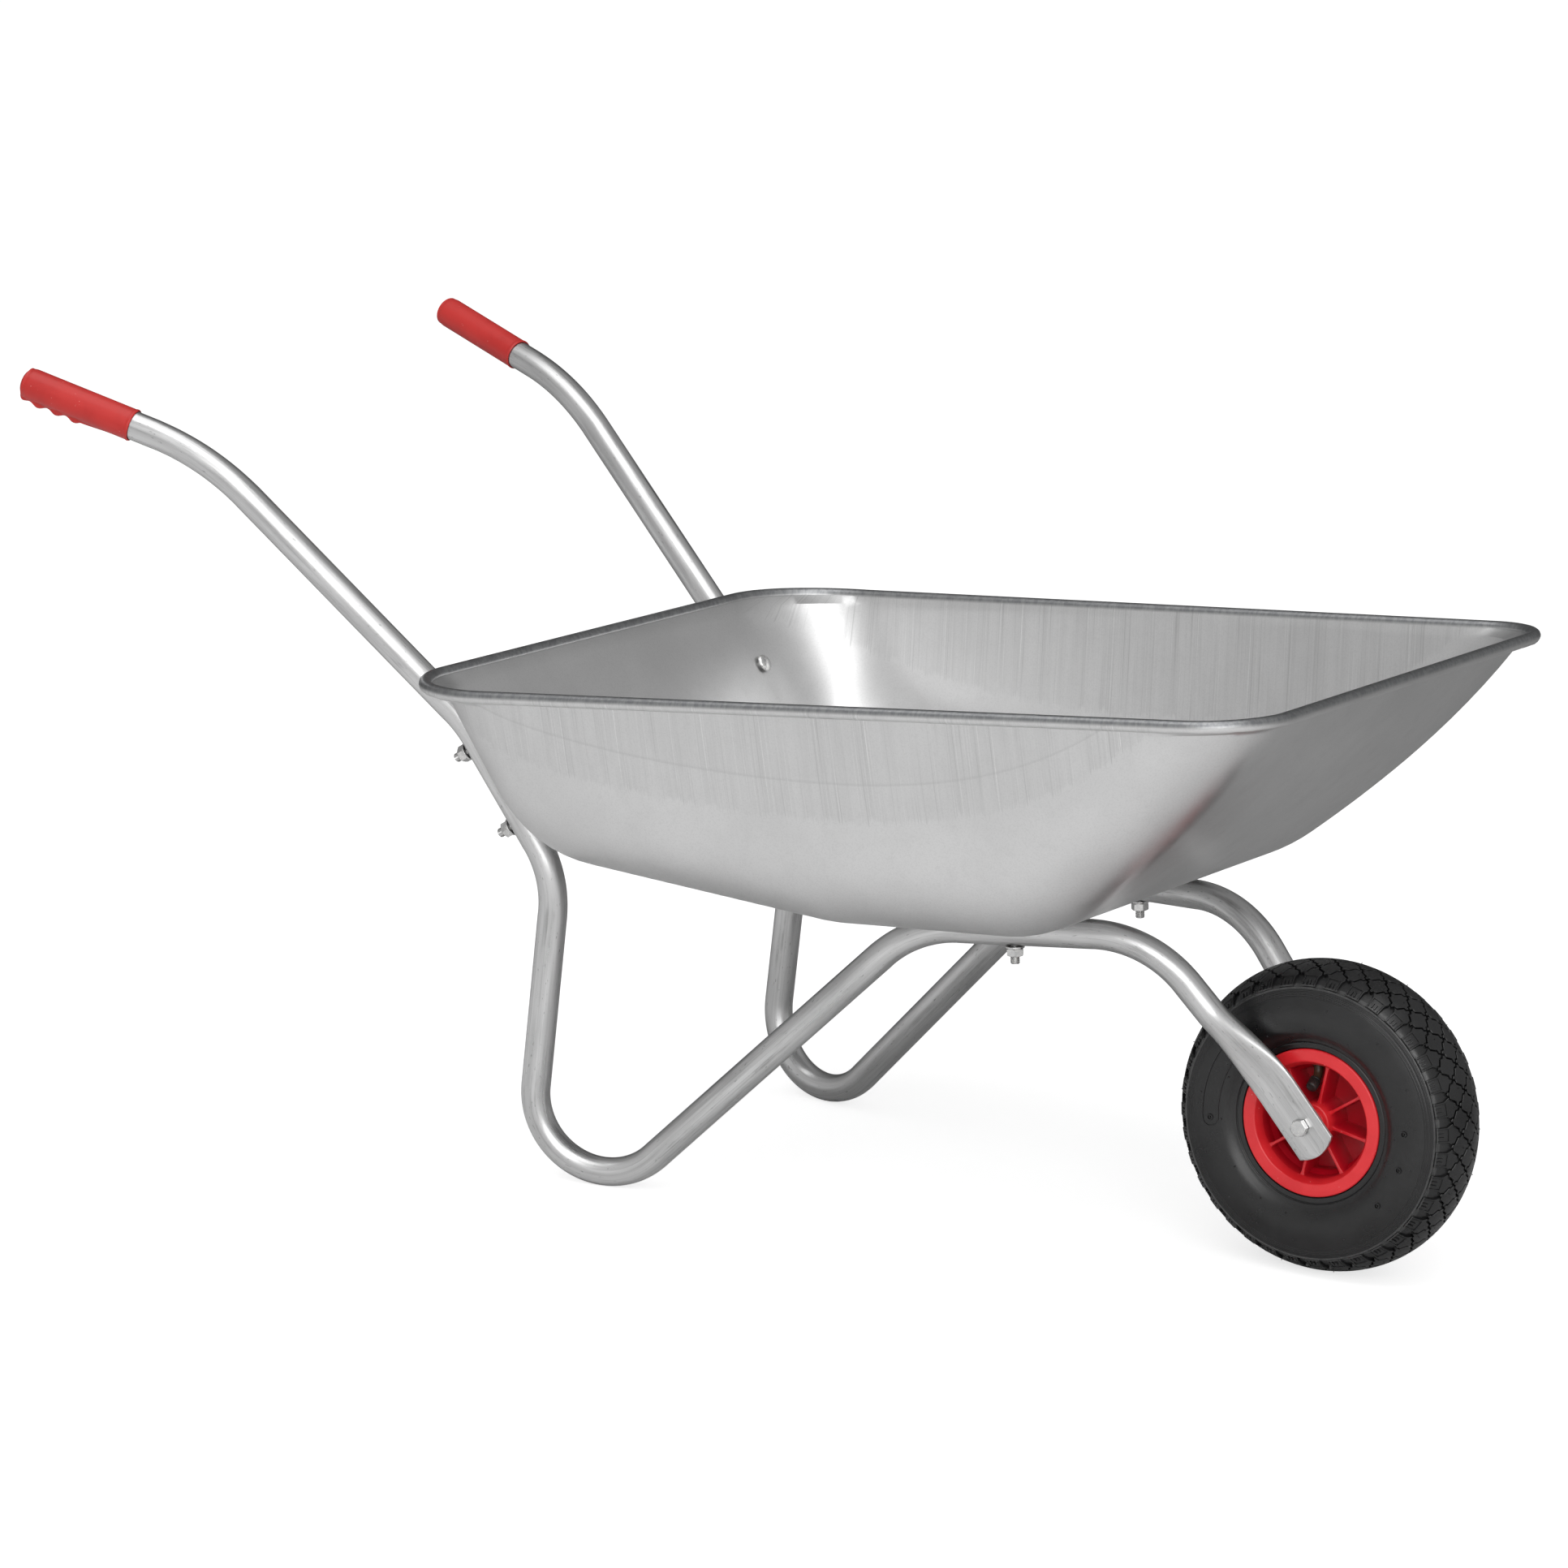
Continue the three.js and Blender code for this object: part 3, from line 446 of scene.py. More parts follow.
def plastic(name, colour, deep, roughness, coat, speck, recess=None):
    """Coloured plastic with flow marks, a fine skin and a few pale specks, with painted shade darker down in a
    recess.
    """
    paint = Paint(name, Coat_Weight=coat, Coat_Roughness=0.18, IOR=1.46)
    place_ = paint.coordinates()
    flow = paint.noise(place_, 34.0, 3.0)
    skin = paint.noise(place_, 900.0, 3.0)
    spots = paint.cells(place_, 130.0)
    spot = paint.times(paint.band(spots, 0.08, 0.02), speck)
    mixed = paint.mix(paint.band(flow, 0.35, 0.65), deep, colour)
    mixed = paint.mix(spot, mixed, (0.95, 0.6, 0.55, 1))
    if recess:
        # painted shade: nearer the hub's middle plane, deep in its recess, the colour turns to the shade
        # colour
        shade, bottom, top = recess
        depth = paint.band(paint.math("ABSOLUTE", paint.axis(place_, "Y")), bottom * MM, top * MM)
        mixed = paint.mix(depth, shade, mixed)
    rough = paint.band(flow, 0.3, 0.7, roughness - 0.05, roughness + 0.06)
    return paint.wire(Base_Color=mixed, Roughness=rough, Normal=paint.bump(skin, 0.0001, 0.3))


def tyre_rubber():
    """Moulded rubber: near black, with a faint bloom, a fine pitted skin and a painted highlight along the
    ring at the shoulder.
    """
    paint = Paint("tyre_rubber", IOR=1.5, Specular_IOR_Level=0.62)
    place_ = paint.coordinates()
    bloom = paint.noise(place_, 26.0, 4.0, 0.6)
    skin = paint.noise(place_, 700.0, 4.0, 0.65)
    pits = paint.cells(place_, 420.0)
    colour = paint.mix(paint.band(bloom, 0.35, 0.7), (0.005, 0.005, 0.0053, 1),
                       (0.0105, 0.0105, 0.011, 1))
    # painted highlight: the ring at the shoulder is made lighter in patches, standing in for the reflection it
    # catches
    from_axle = paint.node("VectorMath", {0: place_, 1: AXLE}, operation="SUBTRACT").outputs[0]
    flat = paint.node("VectorMath", {0: from_axle, 1: (1, 0, 1)}, operation="MULTIPLY").outputs[0]
    radius = paint.node("VectorMath", {0: flat}, operation="LENGTH").outputs["Value"]
    ring = paint.times(paint.band(radius, 0.1118, 0.1124), paint.band(radius, 0.1156, 0.115))
    highlight_patches = paint.band(paint.noise(place_, 190.0, 3.0, 0.7), 0.3, 0.6, 0.45, 1.0)
    colour = paint.mix(paint.times(ring, highlight_patches), colour, grey(0.055))
    rough = paint.band(bloom, 0.3, 0.7, 0.26, 0.38)
    first = paint.bump(skin, 0.0002, 0.4)
    second = paint.bump(paint.band(pits, 0.0, 0.25), 0.0001, 0.3, first)
    return paint.wire(Base_Color=colour, Roughness=rough, Normal=second)


def smooth_rubber(name, dark, pale):
    paint = Paint(name, IOR=1.5)
    place_ = paint.coordinates()
    bloom = paint.noise(place_, 120.0, 3.0)
    skin = paint.noise(place_, 1200.0, 3.0)
    colour = paint.mix(bloom, dark, pale)
    rough = paint.band(bloom, 0.3, 0.7, 0.24, 0.4)
    return paint.wire(Base_Color=colour, Roughness=rough, Normal=paint.bump(skin, 0.0001, 0.3))


def nylon():
    paint = Paint("nylon", IOR=1.53)
    place_ = paint.coordinates()
    cloud = paint.noise(place_, 150.0, 3.0)
    turned = paint.noise(paint.coordinates((200, 1800, 200)), 1.0, 2.0)
    colour = paint.mix(cloud, (0.62, 0.6, 0.55, 1), (0.74, 0.72, 0.67, 1))
    rough = paint.band(cloud, 0.3, 0.7, 0.4, 0.52)
    return paint.wire(Base_Color=colour, Roughness=rough, Normal=paint.bump(turned, 0.0001, 0.3))


MATERIALS = {
    "tray_steel": tray_steel(),
    "tube_steel": tube_steel(),
    "zinc": zinc(),
    "grip_plastic": plastic("grip_plastic", (0.56, 0.026, 0.022, 1), (0.5, 0.02, 0.017, 1), 0.42, 0.1, 0.3),
    # the hub gets painted shade deep in its recess, fading out towards its flange
    "hub_plastic": plastic("hub_plastic", (0.84, 0.028, 0.036, 1), (0.78, 0.02, 0.028, 1), 0.34, 0.3, 0.5,
                           ((0.5, 0.004, 0.016, 1), FLANGE_Y - 16, FLANGE_Y - 2)),
    "tyre_rubber": tyre_rubber(),
    "rubber": smooth_rubber("smooth_rubber", (0.012, 0.012, 0.012, 1), (0.03, 0.028, 0.026, 1)),
    "valve_rubber": smooth_rubber("valve_rubber", (0.05, 0.028, 0.016, 1), (0.085, 0.05, 0.03, 1)),
    "nylon": nylon(),
}


# ---- tray ----------------------------------------------------------------------------------------

def rim_z(x):
    return RIM_Z_AT_AXLE + RIM_RISE * x + RIM_LIFT * np.maximum(0, RIM_LIFT_FROM - x) ** 2


def rim_half_width(x):
    return RIM_HALF_WIDTH_AT_AXLE - RIM_TAPER * x


def inside_walls(x, z):
    """Distance inside the chain of rear wall, floor and front wall."""
    result = None
    for k, (wall_x, wall_z, slope) in enumerate(WALLS):
        distance = (z - wall_z - slope * (x - wall_x)) / math.hypot(1, slope)
        if k == len(WALLS) - 1:
            fall = np.clip((wall_z - z) / TRAY_DEPTH, 0, 1)
            distance = distance + FRONT_WALL_CROWN * 4 * fall * (1 - fall)
        if result is None:
            result = distance
            continue
        turn = math.atan(slope) - math.atan(WALLS[k - 1][2])
        width = 4 * WALL_BLENDS[k - 1] * (1 - math.cos(turn / 2))
        h = np.maximum(width - np.abs(result - distance), 0) / width
        result = np.minimum(result, distance) - h * h * width / 4
    return result


def inside_tray(x, y, z):
    """Positive inside the tray's outer surface."""
    walls = inside_walls(x, z)
    depth = rim_z(x) - z
    fall = np.clip(depth / TRAY_DEPTH, 0, 1)
    half = rim_half_width(x) - SIDE_WALL_INSET - SIDE_WALL_DRAFT * depth
    half = half + SIDE_WALL_CROWN * 4 * fall * (1 - fall)
    sides = (half - np.abs(y)) / math.hypot(1, SIDE_WALL_DRAFT)
    corner = REAR_CORNER_R + (FRONT_CORNER_R - REAR_CORNER_R) * np.clip((x + 650) / 600, 0, 1)
    up = np.clip((z - 265) / 150, 0, 1)
    radius = FLOOR_EDGE_R + (corner - FLOOR_EDGE_R) * up
    rounded_ = radius - np.hypot(np.maximum(radius - walls, 0), np.maximum(radius - sides, 0))
    return np.where((walls < 0) | (sides < 0), np.minimum(walls, sides), rounded_)


def leaves(shape, trial):
    """Halves in on where rays leave a shape; trial gives the places at a reach and which are inside."""
    near, far = np.zeros(shape), np.full(shape, FARTHEST)
    for _ in range(HALVINGS):
        reach = (near + far) / 2
        places, within = trial(reach)
        near, far = np.where(within, reach, near), np.where(within, far, reach)
    return places


def tray_point(around, down, inset):
    """Where rays from above the floor meet a surface that is inset inside the tray's outer surface."""
    forward = np.cos(around) * np.cos(down)
    side = np.sin(around) * np.cos(down)
    rise = RIM_RISE * forward - np.sin(down)
    top = RIM_Z_AT_AXLE + RIM_RISE * TRAY_CENTRE_X

    def trial(reach):
        x = TRAY_CENTRE_X + forward * reach
        z = top + rise * reach + RIM_LIFT * np.maximum(0, RIM_LIFT_FROM - x) ** 2 * np.cos(down) ** 2
        return np.stack([x, side * reach, z], -1), inside_tray(x, side * reach, z) > inset

    return leaves(forward.shape, trial)


def bead_line(around):
    """The middle of the rolled edge at each bearing."""
    def trial(reach):
        x = TRAY_CENTRE_X + reach * np.cos(around)
        rear = x < TRAY_CENTRE_X
        end = np.where(rear, x - BEAD_REAR_X, BEAD_FRONT_X - x)
        side = rim_half_width(x) - np.abs(reach * np.sin(around))
        radius = np.where(rear, BEAD_REAR_CORNER_R, BEAD_FRONT_CORNER_R)
        inside = radius - np.hypot(np.maximum(radius - end, 0), np.maximum(radius - side, 0))
        within = (end > 0) & (side > 0) & (inside > 0)
        return np.stack([x, reach * np.sin(around), rim_z(x)], -1), within

    return leaves(around.shape, trial)


def tray():
    sectors, rings, bead_steps, first = 480, 64, 18, 0.014
    around = bearings(sectors)
    falls = first + (math.pi / 2 - 0.02 - first) * np.linspace(0, 1, rings) ** 1.15
    grid_around, grid_down = np.meshgrid(around, falls)
    inner = tray_point(grid_around, grid_down, SHEET)[::-1]
    grid_down[0] += 0.008
    outer = tray_point(grid_around, grid_down, 0.0)
    centre = bead_line(around)
    along = np.roll(centre, -1, 0) - np.roll(centre, 1, 0)
    outward = np.stack([along[:, 1], -along[:, 0], 0 * along[:, 0]], -1)
    outward /= np.linalg.norm(outward, axis=1)[:, None]
    turns = np.radians(180 - 316 * np.arange(bead_steps) / (bead_steps - 1))
    # where the edge is rolled round a corner the bead is slightly rippled
    bend = np.linalg.norm(np.roll(outward, -3, 0) - np.roll(outward, 3, 0), axis=1)
    ripple = np.clip(bend * 6, 0, 1) * (0.22 * np.sin(around * 150) + 0.15 * np.sin(around * 83 + 1))
    up = np.array([0, 0, 1.0])
    bead = []
    for turn in turns:
        radius = (BEAD_R + ripple * (0.5 - 0.5 * math.sin(turn)))[:, None]
        bead.append(centre + outward * (radius * math.cos(turn)) + up * (radius * math.sin(turn)))
    points, faces = tube_solid(np.concatenate([inner, np.array(bead), outer]))
    piece("tray", "frame", "tray_steel", points, faces, ["tray"])


# ---- frame tubes ---------------------------------------------------------------------------------

def bent_path(corners, step):
    """Points and directions along a chain of corners with rounded bends, and how bent each point is."""
    points = [np.array(c[:2], float) for c in corners]
    path, direction, bent = [], [], []

    def straight(a, b):
        count = max(2, int(np.linalg.norm(b - a) / step))
        for k in range(count):
            path.append(a + (b - a) * k / count)
            direction.append((b - a) / np.linalg.norm(b - a))
            bent.append(0.0)

    at = points[0]
    for k in range(1, len(points) - 1):
        before = points[k] - points[k - 1]
        after = points[k + 1] - points[k]
        before, after = before / np.linalg.norm(before), after / np.linalg.norm(after)
        sense = math.copysign(1, before[0] * after[1] - before[1] * after[0])
        turn = math.acos(float(before @ after))
        radius = corners[k][2]
        start = points[k] - before * radius * math.tan(turn / 2)
        straight(at, start)
        centre = start + sense * radius * np.array([-before[1], before[0]])
        count = max(4, int(radius * turn / step * 1.4))
        for s in range(count):
            angle = sense * turn * s / count
            c, n = math.cos(angle), math.sin(angle)
            turned = np.array([[c, -n], [n, c]])
            path.append(centre + turned @ (start - centre))
            direction.append(turned @ before)
            bent.append(math.sin(math.pi * s / count) ** 0.5)
        at = points[k] + after * radius * math.tan(turn / 2)
    straight(at, points[-1])
    return np.array(path), np.array(direction), np.array(bent)


def stadium(half_width, half_thick, count):
    """Points of a flattened circle, evenly round its outline, from the middle of one flat side."""
    flat = half_width - half_thick
    total = 4 * flat + TAU * half_thick
    out = np.zeros((count, 2))
    for k in range(count):
        s = (k / count) * total
        for side in (1, -1):
            if s < flat:
                out[k] = side * s, side * half_thick
                break
            s -= flat
            if s < math.pi * half_thick:
                a = s / half_thick
                out[k] = side * (flat + half_thick * math.sin(a)), side * half_thick * math.cos(a)
                break
            s -= math.pi * half_thick
            if s < flat or side == -1:
                out[k] = side * (flat - s), -side * half_thick
                break
            s -= flat
    return out


def in_plane(t, sideways, z):
    """From the tube's plane to its place on the left of the barrow."""
    x = t * math.cos(TUBE_SPLAY) + sideways * math.sin(TUBE_SPLAY)
    y = TUBE_Y_AT_AXLE - t * math.sin(TUBE_SPLAY) + TUBE_LEAN * z + sideways * math.cos(TUBE_SPLAY)
    return np.stack([x, y, z], -1)


def frame_tube():
    """Rings of points along the left tube, from its handle end to the round end of its fork plate."""
    sides = 48
    angle = bearings(sides)

    def unbent(distance):
        return np.stack([TUBE_R * np.sin(angle), TUBE_R * np.cos(angle), 0 * angle + distance], -1)

    corners = list(FRAME_CORNERS)
    crease = np.array(corners[-1][:2])
    path, direction, bent = bent_path(corners, 5.0)
    along = direction[-1]
    plate = np.array([0 - crease[0] * math.cos(TUBE_SPLAY), AXLE_Z - crease[1]])
    to_axle = np.linalg.norm(plate)
    plate /= to_axle
    rings, rests = [], []
    travelled = 0.0
    for k in range(len(path)):
        if k:
            travelled += np.linalg.norm(path[k] - path[k - 1])
        distance = float((path[k] - crease) @ along)
        near = np.linalg.norm(path[k] - crease) < CRUSH_LENGTH
        crush = float(np.clip(1 + distance / CRUSH_LENGTH, 0, 1)) if near else 0.0
        flat = float(smoothstep(crush))
        half_width = TUBE_R + (PLATE_WIDTH / 2 - TUBE_R) * flat
        half_thick = TUBE_R + (PLATE_THICK / 2 - TUBE_R) * flat
        section = stadium(half_width, half_thick, sides)
        oval = 1 - 0.035 * bent[k]
        normal = np.array([direction[k][1], -direction[k][0]])
        t = path[k][0] + normal[0] * section[:, 0] * oval
        z = path[k][1] + normal[1] * section[:, 0] * oval
        sideways = section[:, 1] * (2 - oval)
        free = in_plane(t, sideways, z)
        pressed = np.stack([t * math.cos(TUBE_SPLAY), PLATE_Y + sideways, z], -1)
        rings.append(free + (pressed - free) * crush)
        rests.append(unbent(travelled))
    arc_centre = PLATE_PAST_AXLE - PLATE_END_R
    arc_start = arc_centre + math.sqrt(PLATE_END_R ** 2 - (PLATE_WIDTH / 2) ** 2)
    reaches = list(np.linspace(4, to_axle + arc_start, 12))
    sweep = math.asin(PLATE_WIDTH / 2 / PLATE_END_R)
    reaches += [to_axle + arc_centre + PLATE_END_R * math.cos(a) for a in np.linspace(sweep, 0.1, 12)]
    normal = np.array([plate[1], -plate[0]])
    for reach in reaches:
        past = reach - to_axle - arc_centre
        chord = math.sqrt(max(PLATE_END_R ** 2 - past ** 2, 0)) if past > 0 else PLATE_WIDTH
        half_width = min(PLATE_WIDTH / 2, chord)
        section = stadium(max(half_width, PLATE_THICK / 2), PLATE_THICK / 2, sides)
        x = crease[0] * math.cos(TUBE_SPLAY) + plate[0] * reach + normal[0] * section[:, 0]
        z = crease[1] + plate[1] * reach + normal[1] * section[:, 0]
        rings.append(np.stack([x, PLATE_Y + section[:, 1], z], -1))
        rests.append(unbent(travelled + reach))
    return np.array(rings), np.array(rests)


def frame_tubes():
    rings, rests = frame_tube()
    points, faces = tube_solid(rings)
    rest = np.concatenate([rests.reshape(-1, 3), rests[:1].mean(1), rests[-1:].mean(1)])
    elsewhere = rest + np.array([0, 0, 3000.0])     # so that the two tubes aren't worn alike
    piece("frame_tube_left", "frame", "tube_steel", points, faces, ["frame_tube_left"], rest=elsewhere)
    piece("frame_tube_right", "frame", "tube_steel", mirror(points), faces, ["frame_tube_right"], rest=rest)


# ---- grips ---------------------------------------------------------------------------------------

def grip():
    """Points of the left grip: a sleeve with a domed end, a lip at its mouth and finger bumps underneath."""
    angles = bearings(72)      # 0 is straight down
    outside = []
    stations = np.concatenate([np.linspace(0, 3, 6), np.linspace(3.6, GRIP_LENGTH - 9, 130)])
    for s in stations:
        lip = 0.45 * math.exp(-((s - 1.6) / 1.1) ** 2) - 0.5 * max(0, 1 - s / 0.8) ** 2
        outside.append((GRIP_R - 0.35 + lip, s))
    for a in np.linspace(0.12, math.pi / 2, 14):
        outside.append((GRIP_R - 0.35 - 8 * (1 - math.cos(a)), GRIP_LENGTH - 9 + 9 * math.sin(a)))
    outside += [(4.0, GRIP_LENGTH + 0.15), (1.2, GRIP_LENGTH + 0.2)]
    inside = [(13.1, 0.0), (13.1, GRIP_LENGTH - 3.5), (1.2, GRIP_LENGTH - 3)]

    def level(radius, s):
        return np.stack([radius * np.sin(angles), -radius * np.cos(angles), 0 * angles + s], -1)

    rings = []
    for radius, s in outside:
        from_end = GRIP_LENGTH - s
        wave = 0.5 + 0.5 * math.cos(TAU * (from_end - 1.5) / GRIP_BUMP_PITCH)
        bumps = 0.7 + 3.0 * wave if from_end < GRIP_BUMPS_REACH else 0.0
        tail = 1.6 * float(smoothstep((GRIP_TAIL_REACH - from_end) / 34)) if from_end >= 55 else 0.0
        height = 0.0
        if from_end < GRIP_TAIL_REACH:
            height = max(bumps, tail) * float(smoothstep(from_end / 2.5 + 0.35))
        off = np.minimum(angles, TAU - angles) * GRIP_R
        fin = np.clip(1 - (off / 4.6) ** 4, 0, 1) ** 0.5
        rings.append(level(radius + height * fin, s))
    return tube_solid(rings[::-1] + [level(radius, s) for radius, s in inside])


def grips():
    points, faces = grip()
    mouth = in_plane(GRIP_MOUTH[0], 0, GRIP_MOUTH[1])
    end = in_plane(FRAME_CORNERS[0][0], 0, FRAME_CORNERS[0][1])
    axis = Vector(end - mouth).normalized()
    up = (Vector((0, 0, 1)) - axis * axis.z).normalized()
    side = up.cross(axis)
    turn = np.array(Matrix((side, up, axis)).transposed())
    twist = np.array(Matrix.Rotation(-LEFT_GRIP_TWIST, 3, "Z"))
    left = points @ twist.T @ turn.T + mouth
    piece("grip_left", "frame", "grip_plastic", left, faces, ["grip_left"])
    right = mirror(points @ turn.T + mouth)
    piece("grip_right", "frame", "grip_plastic", right, faces, ["grip_right"])


# ---- fasteners -----------------------------------------------------------------------------------

def hexagon_radius(angles, across):
    within = (angles + math.pi / 6) % (math.pi / 3) - math.pi / 6
    return across / 2 / np.cos(within)


def hexagon_rings(across, z0, z1, chamfer_low, chamfer_high):
    """Rings of a hexagon whose corners are cut back by a cone at either end."""
    full = hexagon_radius(bearings(FASTENER_COLUMNS), across)
    rings = []
    height = z1 - z0
    levels = [0, 0.05, 0.1, 0.16, 0.24, 0.34, 0.5, 0.66, 0.76, 0.84, 0.9, 0.95, 1.0]
    for level in levels:
        z = z0 + height * level
        cut = np.full(FASTENER_COLUMNS, 1e3)
        if chamfer_low:
            cut = np.minimum(cut, across * 0.475 + (z - z0) * 1.75)
        if chamfer_high:
            cut = np.minimum(cut, across * 0.475 + (z1 - z) * 1.75)
        rings.append(ring_of(np.minimum(full, cut), z))
    return rings


def ring_of(radius, z, columns=FASTENER_COLUMNS):
    angles = bearings(columns)
    return np.stack([radius * np.cos(angles), radius * np.sin(angles), 0 * angles + z], -1)


def threaded_rings(radius, z0, z1):
    """Rings of a screw thread from z0 up to z1; the end at z0 is chamfered."""
    end_chamfer, depth = 0.8, 0.62
    angles = bearings(FASTENER_COLUMNS)
    rings = []
    for z in np.arange(z0, z1 + 1e-6, THREAD_PITCH / 8):
        turn = (z / THREAD_PITCH - angles / TAU) % 1
        groove = depth * np.clip(1.25 * np.abs(2 * turn - 1) - 0.12, 0, 1)
        cut = radius - end_chamfer + (z - z0)
        rings.append(ring_of(np.minimum(radius - groove, cut), z))
    return rings


def nut_solid(z0, z1):
    """A hexagon nut whose hole is countersunk at both ends."""
    outside = hexagon_rings(NUT_ACROSS, z0, z1, True, True)
    hole = BOLT_R + 0.12
    inside = [ring_of(hole + 0.9, z1), ring_of(hole, z1 - 0.8),
              ring_of(hole, z0 + 0.8), ring_of(hole + 0.9, z0)]
    rings = np.array(outside + inside)
    return rings.reshape(-1, 3), grid_faces(len(rings), FASTENER_COLUMNS, wrap_rows=True)


def washer_solid(z0, z1):
    profile = rounded([(4.4, z0), (WASHER_R, z0), (WASHER_R, z1), (4.4, z1)], [0.15, 0.5, 0.5, 0.15], 4)
    return lathe(profile, FASTENER_COLUMNS)


def round_bolt(stud_end, seat):
    """A round-head bolt: thread below, a plain round neck, a domed head."""
    rings = [ring_of(0.6, stud_end), *threaded_rings(BOLT_R, stud_end, seat - 12)]
    rings += [ring_of(BOLT_R - 0.25, seat - 11.2), ring_of(BOLT_R, seat - 0.2),
              ring_of(BOLT_HEAD_R - 0.5, seat)]
    for a in np.linspace(0, math.pi / 2 - 0.06, 14):
        height = seat + 0.5 + (BOLT_HEAD_H - 0.5) * math.sin(a)
        rings.append(ring_of(BOLT_HEAD_R * math.cos(a) ** 0.8, height))
    return tube_solid(rings)


def bolt_frame(bolt):
    """The tube's middle at a tray bolt, and the direction out of the wall that it goes through."""
    _, t, z, wall = bolt
    normal = Vector((-WALLS[wall][2], 0, 1)).normalized()
    return in_plane(t, 0, z), normal


def tray_fasteners():
    seat = TUBE_R + 0.4 + SHEET + GAP + HEAD_PROUD
    washer_top = -TUBE_R - GAP
    nut_top = washer_top - WASHER_H - GAP * 0.3
    stud_end = washer_top - WASHER_H - GAP - NUT_H - BOLT_STUD
    solids = {
        "bolt": round_bolt(stud_end, seat),
        "washer": washer_solid(washer_top - WASHER_H, washer_top),
        "nut": nut_solid(nut_top - NUT_H, nut_top),
    }
    spins = rng.uniform(0, TAU, 64)
    for k, bolt in enumerate(TRAY_BOLTS):
        centre, normal = bolt_frame(bolt)
        for j, (kind, (points, faces)) in enumerate(solids.items()):
            for side, flip in SIDES:
                spin = spins[k * 6 + j * 2 + flip]
                turn = np.array(Matrix.Rotation(spin, 3, "Z"))
                placed = aim(points @ turn.T, normal, centre)
                placed = mirror(placed) if flip else placed
                name = f"tray_{kind}_{bolt[0]}_{side}"
                piece(name, "frame", "zinc", placed, faces, [name], sharp=HEX_SHARP)


def along_axle(points):
    """Points made along +Z, turned so that +Z is +Y and set on the axle."""
    points = np.asarray(points, float)
    return np.stack([points[:, 0], points[:, 2], -points[:, 1] + AXLE_Z], -1)


def spun(points, angle):
    """Points turned about the axle by an angle that rises from straight forward."""
    turn = np.array(Matrix.Rotation(-angle, 3, "Y"))
    centre = np.array([0, 0, AXLE_Z])
    return (points - centre) @ turn.T + centre


def axle_pieces():
    inner, outer = PLATE_Y - PLATE_THICK / 2, PLATE_Y + PLATE_THICK / 2
    nut_at = outer + GAP + WASHER_H + GAP * 0.3
    head = -outer - GAP
    end = outer + GAP + WASHER_H + GAP + NUT_H + 5
    rings = [ring_of(radius, head - AXLE_HEAD_H - 0.02) for radius in (0.8, NUT_ACROSS * 0.475 - 0.25)]
    rings += hexagon_rings(NUT_ACROSS, head - AXLE_HEAD_H, head - 0.5, True, False)
    rings += [ring_of(6.1, head - 0.45), ring_of(6.1, head), ring_of(BOLT_R, head + 0.1)]
    thread_from = 36
    rings += [r * np.array([1, 1, 0]) + np.array([0, 0, end]) - r * np.array([0, 0, 1])
              + np.array([0, 0, thread_from]) for r in threaded_rings(BOLT_R, thread_from, end)[::-1]]
    points, faces = tube_solid(rings)
    points = points @ np.array(Matrix.Rotation(math.radians(20), 3, "Z")).T
    piece("axle_bolt", "frame", "zinc", along_axle(points), faces, ["axle_bolt"], sharp=HEX_SHARP)
    points, faces = washer_solid(outer + GAP, outer + GAP + WASHER_H)
    piece("axle_washer", "frame", "zinc", along_axle(points), faces, ["axle_washer"])
    points, faces = nut_solid(nut_at, nut_at + NUT_H)
    piece("axle_nut", "frame", "zinc", along_axle(points), faces, ["axle_nut"], sharp=HEX_SHARP)
    profile = rounded([(4.5, -inner + GAP), (SLEEVE_R, -inner + GAP), (SLEEVE_R, inner - GAP),
                       (4.5, inner - GAP)], 0.3)
    points, faces = lathe(profile)
    piece("axle_sleeve", "frame", "zinc", along_axle(points), faces, ["axle_sleeve"])
    bush_end = BOSS_Y + GAP + BUSH_FLANGE
    spacer = rounded([(SLEEVE_R + 0.2, bush_end + GAP), (10, bush_end + GAP), (10, inner - GAP),
                      (SLEEVE_R + 0.2, inner - GAP)], 0.6)
    bush = rounded([(SLEEVE_R + 0.2, 12), (BUSH_R, 12), (BUSH_R, BOSS_Y + GAP),
                    (BUSH_FLANGE_R, BOSS_Y + GAP), (BUSH_FLANGE_R, bush_end),
                    (SLEEVE_R + 0.2, bush_end)], [0.3, 0.3, 0.1, 0.4, 0.6, 0.6])
    for kind, body, slot_name, profile in (("axle_spacer", "frame", "nylon", spacer),
                                           ("wheel_bush", "wheel", "hub_plastic", bush)):
        points, faces = lathe(profile)
        placed = along_axle(points)
        for side, flip in SIDES:
            name = f"{kind}_{side}"
            piece(name, body, slot_name, mirror(placed) if flip else placed, faces, [name])


# ---- wheel ---------------------------------------------------------------------------------------

TYRE_PROFILE = [           # radius and half width of the outside, from the crown to the edge of the rim
    (130.0, 0.0), (127.8, 14.0), (122.5, 26.0), (116.0, 34.5), (105.0, 40.0), (92.0, 42.3), (79.0, 40.6),
    (71.0, 36.8), (66.0, 35.2), (62.6, 34.6),
]
TREAD_ROW = 11.0           # between rows of tread nodes, over the crown
HALF_PITCH = TAU * TYRE_R / TREAD_PITCHES / 2
GROOVE_HALF = 0.85
GROOVE_DEPTH = 2.6
ZIGZAG = 0.85              # how far a groove's middle swings to either side
PANEL_DEPTH = 2.4          # of the shoulder panels that the lugs stand on
PANEL_TO = 40.4            # where they end, sideways over the surface
LUG_HALF = 6.9
RIBS_FROM = 105.4          # fine round ribs on the sidewall, between two radii
RIBS_TO = 111.6
RIB_PITCH = 1.24
PIN_R = 88.0               # the radius that the vent pins stand at


